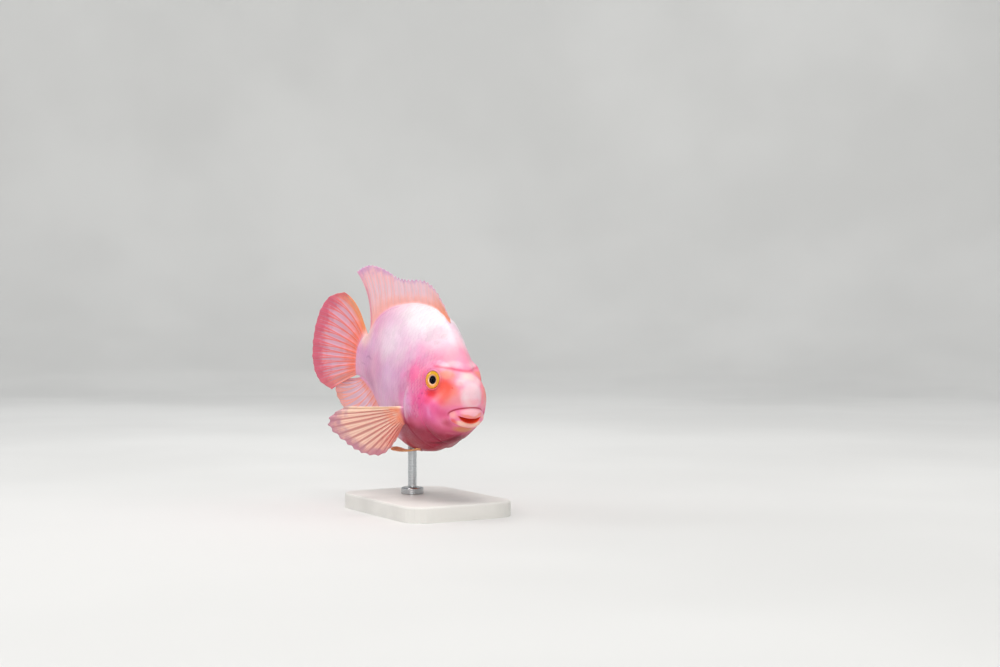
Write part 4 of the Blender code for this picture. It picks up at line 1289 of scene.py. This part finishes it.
def fin_material(name):
    made, tree, shader = finish(name + "_membrane", 0.42, 0.22, 0.25, (1.0, 0.45, 0.40))
    place, out = read(tree, "rest"), read(tree, "out", "Fac")
    inputs = {"Place": place, **{label: read(tree, label.lower(), "Fac") for label in FIN_VALUES}}
    inputs.update({part + " colour": code for part, code in zip(FIN_PARTS, FIN_TONES[name])})
    inputs.update(zip(FIN_AMOUNTS, FIN_SPREADS[name]))
    look = use(tree, "Fin colours", inputs)
    marks = use(tree, "Fish markings", {"Place": place, "Hoop": BARE_HOOP})
    thin = look["Web"] * ramp(out, 0.15, 0.6)
    fill(shader, {"Base Color": blend(ramp(out, FIN_SKIN[name], 0.0), look["Colour"], marks["Colour"]),
                  "Alpha": ramp(thin, 0.0, 1.0, 1.0, 1.0 - FIN_CLEAR)})
    raise_surface(shader, look["Height"], 0.4, 0.0002)
    return made


FIN_LOOKS = {name: fin_material(name) for name in FIN_TONES}

# %% [markdown]
# ### The dorsal and anal fins
#
# Both stand on the body's midline. Their root lines follow the back and the belly, and the tips
# of the rays follow the margin in the photograph where it shows: scalloped over the spines, then
# rising to the pointed soft lobe of the dorsal fin.

# %% Dorsal and anal fins
MEDIAN_DIP = (0.07, 0.012)
BACK, BELLY = 1, 3


def median_fin(name, count, stations, edge, spines, curl, sag, column, flip):
    """A fin on the midline of the back or the belly. stations, edge, curl and sag are knots along
    the rays: where they root, their tips, how far the tips lean and how far the rays bow."""
    k = np.linspace(5, TAIL_ROOT, 400)
    stations = swept(count, stations)
    height = np.interp(stations, rail(column, 0, k), rail(column, 1, k))
    roots = np.stack([stations, np.zeros(count), height], -1)
    tips = np.insert(swept_points(count, edge), 1, swept(count, curl), axis=1)
    ray = tips - roots
    ahead = np.stack([-np.abs(ray[:, 2]), np.zeros(count), np.abs(ray[:, 0]) * np.sign(ray[:, 2])], -1)
    bow = ahead * swept(count, sag)[:, None]
    bow[:, 1] = -0.2 * tips[:, 1]
    return fin_piece(name + "_fin", name, roots, tips, bow, spines, MEDIAN_DIP,
                     0.0016, 0.14, 0.0003, 0.0003, flip)


median_fin(
    "dorsal", 28, (0.290, 0.400, 0.510, 0.620, 0.725, 0.815, 0.882, 0.920),
    ((0.298, 0.312), (0.425, 0.394), (0.550, 0.432), (0.675, 0.416),
     (0.775, 0.410), (0.880, 0.430), (0.975, 0.430), (1.034, 0.390)), 17,
    (0, 0, 0, 0, 0.002, 0.002, -0.004, -0.012), (0.02, 0.04, 0.05, 0.05, 0.05, 0.06, 0.08, 0.11), BACK, False)
median_fin(
    "anal", 17, (0.640, 0.710, 0.780, 0.850, 0.910, 0.950),
    ((0.680, -0.310), (0.790, -0.345), (0.900, -0.345), (1.020, -0.305),
     (1.110, -0.215), (1.100, -0.130)), 8,
    (0, 0, 0.004, 0.014, 0.030, 0.034), (0.03, 0.05, 0.06, 0.07, 0.08, 0.08), BELLY, True)

# %% [markdown]
# ### The tail fin
#
# Seventeen rays fan out from the end of the tail stalk. The upper lobe is drawn up, and the fin
# is lightly pleated, which gives the lilac streaks between the orange rays.

# %% Tail fin
TAIL_RAYS = 17
height = np.linspace(-0.097, 0.097, TAIL_RAYS)
end = hull_point(np.full(181, TAIL_ROOT), np.linspace(-90, 90, 181))
roots = np.stack([np.interp(height, end[:, 2], end[:, 0]), np.zeros(TAIL_RAYS), height], -1)
edge = ((1.114, -0.204), (1.178, -0.180), (1.217, -0.128), (1.236, -0.060), (1.241, 0.012),
        (1.237, 0.088), (1.221, 0.168), (1.179, 0.243), (1.100, 0.279))
tips = np.insert(swept_points(TAIL_RAYS, edge), 1, 0, axis=1)
rise = np.abs((tips - roots)[:, 2])
bow = np.stack([-0.03 * rise, np.zeros(TAIL_RAYS), (0.13 + 0.05 * np.sign(tips[:, 2])) * rise], -1)
fin_piece("tail_fin", "tail", roots, tips, bow, 0, (0.01, 0.006), 0.0020, 0.20, 0.0006, 0.0004, True)

# %% [markdown]
# ### The paired fins
#
# The pectoral fins fan out from the shoulder, just behind the gill cover: the right one is
# spread wide towards the viewer, and the left one lies nearer the body. The pelvic fins are laid
# back under the breast.

# %% Pectoral fins
RIGHT_PECTORAL = ((0.130, 0.217, -0.026), (0.165, 0.286, -0.088), (0.118, 0.230, -0.145),
                  (0.068, 0.162, -0.176), (0.018, 0.084, -0.162), (0.004, 0.030, -0.080))
LEFT_PECTORAL = ((0.240, 0.095, -0.030), (0.290, 0.105, -0.085), (0.225, 0.085, -0.120),
                 (0.160, 0.065, -0.140), (0.090, 0.045, -0.125), (0.040, 0.020, -0.070))
PECTORAL_RAYS = 14
PECTORAL_TOP = (0.338, -0.096)
PECTORAL_LOW = (0.346, -0.176)


def skin_grid(first, angles):
    """The skin behind hoop first as a grid of points, to look up a place on it."""
    hoops = np.linspace(first, STALK_FRONT, 300)
    return skin_point(hoops[:, None], angles[None, :])


def nearest(grid, place, axis):
    """The grid's point nearest a place, given as a station and a value of y or z."""
    miss = (grid[..., 0] - place[0]) ** 2 + (grid[..., axis] - place[1]) ** 2
    return grid[np.unravel_index(np.argmin(miss), miss.shape)]


def pectoral_fin(side, word, reach):
    """Fourteen rays fanned from the shoulder. reach holds the knots of the rays, top to bottom."""
    flank_grid = skin_grid(8, np.linspace(-85, 60, 240))
    mirror = np.array([1, side, 1])
    top, low = (nearest(flank_grid, place, 2) * mirror for place in (PECTORAL_TOP, PECTORAL_LOW))
    share = np.linspace(0, 1, PECTORAL_RAYS)[:, None]
    roots = top * (1 - share) + low * share
    rays = swept_points(PECTORAL_RAYS, reach) * mirror
    bow = np.array([-0.040, side * 0.030, 0.0]) * np.linalg.norm(rays, axis=1)[:, None]
    fin_piece(f"pectoral_fin_{word}", "pectoral", roots, roots + rays, bow, 0, (0.024, 0.024),
              0.0022, 0.16, 0.0, 0.0011 * side, side > 0)


pectoral_fin(-1, "right", RIGHT_PECTORAL)
pectoral_fin(1, "left", LEFT_PECTORAL)


# %% Pelvic fins
PELVIC_RAYS = 6
PELVIC_SUNK = 0.009


def pelvic_fin(side, word):
    """One spine and five soft rays under the breast, laid back along the belly."""
    belly_grid = skin_grid(9, np.linspace(-90, -20, 200))
    feet = zip(np.linspace(0.345, 0.380, PELVIC_RAYS), np.linspace(0.046, 0.020, PELVIC_RAYS))
    roots = np.array([(foot[0], side * foot[1], nearest(belly_grid, foot, 1)[2]) for foot in feet])
    length = swept(PELVIC_RAYS, (0.165, 0.215, 0.205, 0.150))
    drop = np.radians(swept(PELVIC_RAYS, (17, 13, 10, 9)))
    out = np.radians(swept(PELVIC_RAYS, (16, 11, 8, 7)))
    tips = roots + np.stack([np.cos(drop) * length, side * np.sin(out) * length, -np.sin(drop) * length], -1)
    roots[:, 2] += PELVIC_SUNK
    bow = length[:, None] * np.array([0.0, 0.0, -0.06])
    fin_piece(f"pelvic_fin_{word}", "pelvic", roots, tips, bow, 1, (0.03, 0.03),
              0.0018, 0.20, 0.0003, 0.0003, side > 0)


for side, word in SIDES[::-1]:
    pelvic_fin(side, word)

# %% [markdown]
# ## The eyes
#
# A fish's eye is a ball with a flat, gold-rimmed iris round a black pupil, under a clear dome.
# Built as three turned pieces it has real depth: the iris dips towards the pupil, the pupil is a
# dark lens that bulges through it, and the dome over both gives the sharp wet highlight. A
# painted ball would lose that from the side.

# %% Turned pieces for the eye
EYE_POINTS = 128


def turned(name, profile, side, material, replaced=()):
    """A piece turned round an eye's axis. profile is (radius, height) from its back to its front."""
    seat, level, up, look = eye_axes(side)
    centre = seat - look * EYE_SINK
    turn = np.linspace(0, 2 * np.pi, EYE_POINTS, endpoint=False)[None, :, None]
    reach, height = np.array(profile).T[:, :, None, None]
    x, y = reach * np.cos(turn), reach * np.sin(turn)
    points = (centre + x * level + y * up + height * look).reshape(-1, 3)
    face = np.stack([x, y, height + 0 * turn], -1).reshape(-1, 3) / EYE_RADIUS
    faces = grid_faces(len(profile), EYE_POINTS)
    if side > 0:
        faces = faces[:, ::-1]
    return piece(name, posed(points), faces, material, "eye", replaced, disc=face, rest=points)


def dome(reach, height, base, steps, back):
    """Profile of a flattened dome: its flat back, then its front to just short of the pole."""
    lift = np.linspace(0, np.pi / 2 * 0.985, steps)
    front = [(reach * math.cos(a), base + height * math.sin(a)) for a in lift]
    return [(reach * 0.05, base - back), (reach * 0.6, base - back)] + front


# %% [markdown]
# The iris is drawn by nodes from each point's place on the disc: a thin dark line outside, a
# gold ring, then peach and a pale line towards the pupil, with fine fibres running inwards and a
# dark line where the pupil begins.

# %% Eye materials
def iris_material():
    made, tree, shader = finish("gold_iris", 0.30, 0.6)
    disc = read(tree, "disc")
    x, y, _ = split(disc)
    flat = put(tree, "CombineXYZ", {0: x, 1: y})[0]
    reach = vector_maths("LENGTH", flat, outlet="Value")
    fibres = noise(vector_maths("NORMALIZE", flat), 14.0, 5.0, 0.7)["Fac"]
    at = reach + (noise(disc, 5.0, 3.0)["Fac"] - 0.5) * 0.08
    colour = blend(ramp(at, 0.44, 0.62), "f2b08a", "f39a3e")
    for mask, code in (
        (ramp(at, 0.56, 0.72), "f7a426"),
        (ramp(y, -0.30, 0.40) * ramp(at, 0.46, 0.64), "fdc01c"),
        (ramp(fibres, 0.45, 0.65) * 0.30, "c9651f"),
        (ramp(reach, 0.50, 0.46) * ramp(reach, 0.42, 0.455) * 0.7, "fbe0b8"),
        (ramp(at, 0.79, 0.87), "8a3a1c"),
        (ramp(reach, 0.425, 0.385), "3a1a1c"),
    ):
        colour = blend(mask, colour, code)
    fill(shader, {"Metallic": 0.25, "Base Color": colour})
    raise_surface(shader, fibres, 0.3, 0.0001)
    return made


def pupil_material():
    made, tree, shader = finish("dark_pupil", 0.25)
    haze = noise(read(tree, "disc"), 4.0)["Fac"]
    fill(shader, {"IOR": 1.15, "Base Color": blend(ramp(haze, 0.4, 0.7), "07060c", "141022")})
    return made


def cornea_material():
    """Clear as water, with a bright highlight. Light for the iris below passes straight through."""
    made, tree, shader = finish("clear_cornea", 0.02)
    fill(shader, {"Transmission Weight": 1.0, "IOR": 1.20, "Base Color": (1, 1, 1, 1)})
    path = put(tree, "LightPath")
    shadow = maths("MAXIMUM", path["Is Shadow Ray"], path["Is Diffuse Ray"])
    clear = put(tree, "BsdfTransparent")[0]
    either = put(tree, "MixShader", {0: shadow, 1: Wire(shader.outputs[0]), 2: clear})
    fill(next(node for node in tree.nodes if node.type == "OUTPUT_MATERIAL"), {"Surface": either[0]})
    return made


IRIS, PUPIL, CORNEA = iris_material(), pupil_material(), cornea_material()

# %% Eye pieces
IRIS_PROFILE = ((0.0040, -0.0215), (0.0250, -0.0200), (0.0400, -0.0110), (0.0448, 0.0000), (0.0449, 0.0060),
                (0.0442, 0.0100), (0.0430, 0.0124), (0.0412, 0.0139), (0.0390, 0.0149), (0.0365, 0.0155),
                (0.0335, 0.0158), (0.0305, 0.0158), (0.0280, 0.0156), (0.0255, 0.0151), (0.0232, 0.0144),
                (0.0210, 0.0135), (0.0193, 0.0125), (0.0180, 0.0115), (0.0172, 0.0104), (0.0162, 0.0080),
                (0.0020, 0.0078))
# Radius, height, distance from the eye's centre, rings, and how far the flat back lies behind
PUPIL_DOME = (0.0174, 0.0064, 0.0090, 14, 0.002)
CORNEA_DOME = (0.0408, 0.0112, 0.0120, 24, 0.0004)

for side, word in SIDES:
    turned(f"eye_{word}_iris", IRIS_PROFILE, side, IRIS, (f"eye_{word}",))
    turned(f"eye_{word}_pupil", dome(*PUPIL_DOME), side, PUPIL)
    turned(f"eye_{word}_cornea", dome(*CORNEA_DOME), side, CORNEA)

# %% [markdown]
# ## The display stand
#
# The photograph shows the fish in water, so the stand is plain on purpose: a flat foot with
# rounded corners, a slim rod and a small collar. Their solid shapes are right as they are, so
# they only get finishes. The foot is satin paint with a fine orange-peel and faint specks, and
# the rod is brushed steel, with streaks that run round it from the lathe. One group gives the
# slow cloud of tone that keeps a plain surface from looking flat, for the foot and the backdrop.

# %% Cloudy tone group
CLOUD_INPUTS = (("Place", "Vector", None), ("Scale", "Float", 1.0), ("Detail", "Float", 3.0),
                ("Dark", "Color", None), ("Light", "Color", None))
tree, given, result = group("Cloudy tone", CLOUD_INPUTS, (("Colour", "Color"), ("Cloud", "Float")))
cloud = noise(given["Place"], given["Scale"], given["Detail"])["Fac"]
fill(result, {"Colour": blend(ramp(cloud, 0.35, 0.65), given["Dark"], given["Light"]), "Cloud": cloud})


# %% Stand materials
def painted_material():
    made, tree, shader = finish("satin_paint", 0.42, 0.15)
    place = put(tree, "TexCoord")["Object"]
    inputs = {"Place": place, "Scale": 22.0, "Detail": 5.0, "Dark": "dcdad5", "Light": "e8e6e1"}
    cloudy = use(tree, "Cloudy tone", inputs)
    specks = put(tree, "TexVoronoi", {"Vector": place, "Scale": 420.0})["Distance"]
    colour = blend(ramp(specks, 0.12, 0.05) * 0.25, cloudy["Colour"], "b9b4ab")
    fill(shader, {"Base Color": colour, "Roughness": ramp(cloudy["Cloud"], 0.3, 0.7, 0.36, 0.50)})
    raise_surface(shader, noise(place, 900.0)["Fac"], 0.18, 0.0002)
    return made


def steel_material():
    made, tree, shader = finish("brushed_steel", 0.28)
    place = put(tree, "TexCoord")["Object"]
    streaks = noise(vector_maths("MULTIPLY", place, (90.0, 90.0, 16000.0)), 1.0, 4.0, 0.7)["Fac"]
    smudge = noise(place, 60.0, 3.0)["Fac"]
    rough = ramp(streaks, 0.3, 0.7, 0.20, 0.34) + ramp(smudge, 0.55, 0.75, 0.0, 0.10)
    colour = blend(ramp(streaks, 0.3, 0.7), "a9adb1", "cfd2d4")
    fill(shader, {"Metallic": 1.0, "Base Color": colour, "Roughness": rough})
    raise_surface(shader, streaks, 0.25, 0.00005)
    return made


PAINT, STEEL = painted_material(), steel_material()
for label, material in (("stand_base", PAINT), ("stand_collar", STEEL), ("stand_rod", STEEL)):
    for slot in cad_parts[label].material_slots:
        slot.material = material
    print(label, "wears", material.name)

# %% [markdown]
# ## Studio
#
# A pale dish with raised sides stands in for a photographer's sweep. A flat floor alone would
# end in a hard horizon behind the fish, and from the side it would show its edge. The dish is
# one turned surface, flat under the stand and curved up into a wall all round.

# %% Sweep
# Radius and height of the dish's rings
SWEEP = ((0.02, 0.0), (1.2, 0.0), (2.2, 0.0), (2.6, 0.05),
         (2.9, 0.20), (3.08, 0.45), (3.15, 0.80), (3.16, 1.8))
SWEEP_POINTS = 96

turn = np.linspace(0, 2 * np.pi, SWEEP_POINTS, endpoint=False)
points = [(r * math.cos(a), r * math.sin(a), z) for r, z in SWEEP for a in turn]
mesh = bpy.data.meshes.new("sweep")
mesh.from_pydata(points, [], grid_faces(len(SWEEP), SWEEP_POINTS).tolist() + [list(range(SWEEP_POINTS))])
mesh.shade_smooth()
sweep = bpy.data.objects.new("sweep", mesh)
STUDIO.objects.link(sweep)

made, tree, shader = finish("sweep_paper", 0.85)
place = put(tree, "TexCoord")["Object"]
inputs = {"Place": place, "Scale": 1.5, "Detail": 3.0, "Dark": "d6d6d4", "Light": "dededc"}
fill(shader, {"Base Color": use(tree, "Cloudy tone", inputs)["Colour"]})
raise_surface(shader, noise(place, 350.0, 3.0)["Fac"], 0.1, 0.0005)
mesh.materials.append(made)

# %% [markdown]
# ## Light
#
# In the photograph a tank lamp shines from above and a little in front, so the back and the
# forehead are brightest and the belly falls off. A large soft lamp overhead does that here. One
# in front opens the shadows on the face, one behind the tail draws the edges of the fins, a weak
# one fills the far side, and the last brightens the backdrop.

# %% Lamps
LAMPS = (
    # name, place, size, power, colour, the point it is aimed at
    ("overhead", (0.25, -0.25, 2.1), (1.3, 1.1), 32.0, (1.0, 0.98, 0.96), (-0.02, -0.01, 0.11)),
    ("front", (2.3, -1.5, 1.0), (1.0, 1.0), 21.0, (1.0, 0.97, 0.95), (-0.02, -0.01, 0.11)),
    ("edge", (-1.3, -1.5, 1.3), (0.8, 0.8), 8.5, (0.96, 0.97, 1.0), (-0.02, -0.01, 0.11)),
    ("fill", (1.3, 1.7, 1.5), (0.9, 0.9), 6.0, (1.0, 0.98, 0.97), (-0.02, -0.01, 0.11)),
    ("backdrop", (-0.9, 0.6, 2.3), (1.6, 1.2), 16.0, (1.0, 1.0, 1.0), (-2.9, 1.8, 0.5)),
)

for name, place, size, power, colour, aim in LAMPS:
    data = bpy.data.lights.new(name, "AREA")
    data.shape = "RECTANGLE"
    data.size, data.size_y = size
    data.energy, data.color = power, colour
    lamp = bpy.data.objects.new(name, data)
    lamp.location = place
    lamp.rotation_euler = (Vector(aim) - Vector(place)).to_track_quat("-Z", "Y").to_euler()
    STUDIO.objects.link(lamp)

world = bpy.data.worlds.new("studio_air")
bpy.context.scene.world = world
world.use_nodes = True
fill(world.node_tree.nodes["Background"], {"Color": "e9edf2", "Strength": 0.38})

view = bpy.context.scene.view_settings
view.view_transform, view.look, view.exposure = "Standard", "None", 0.0
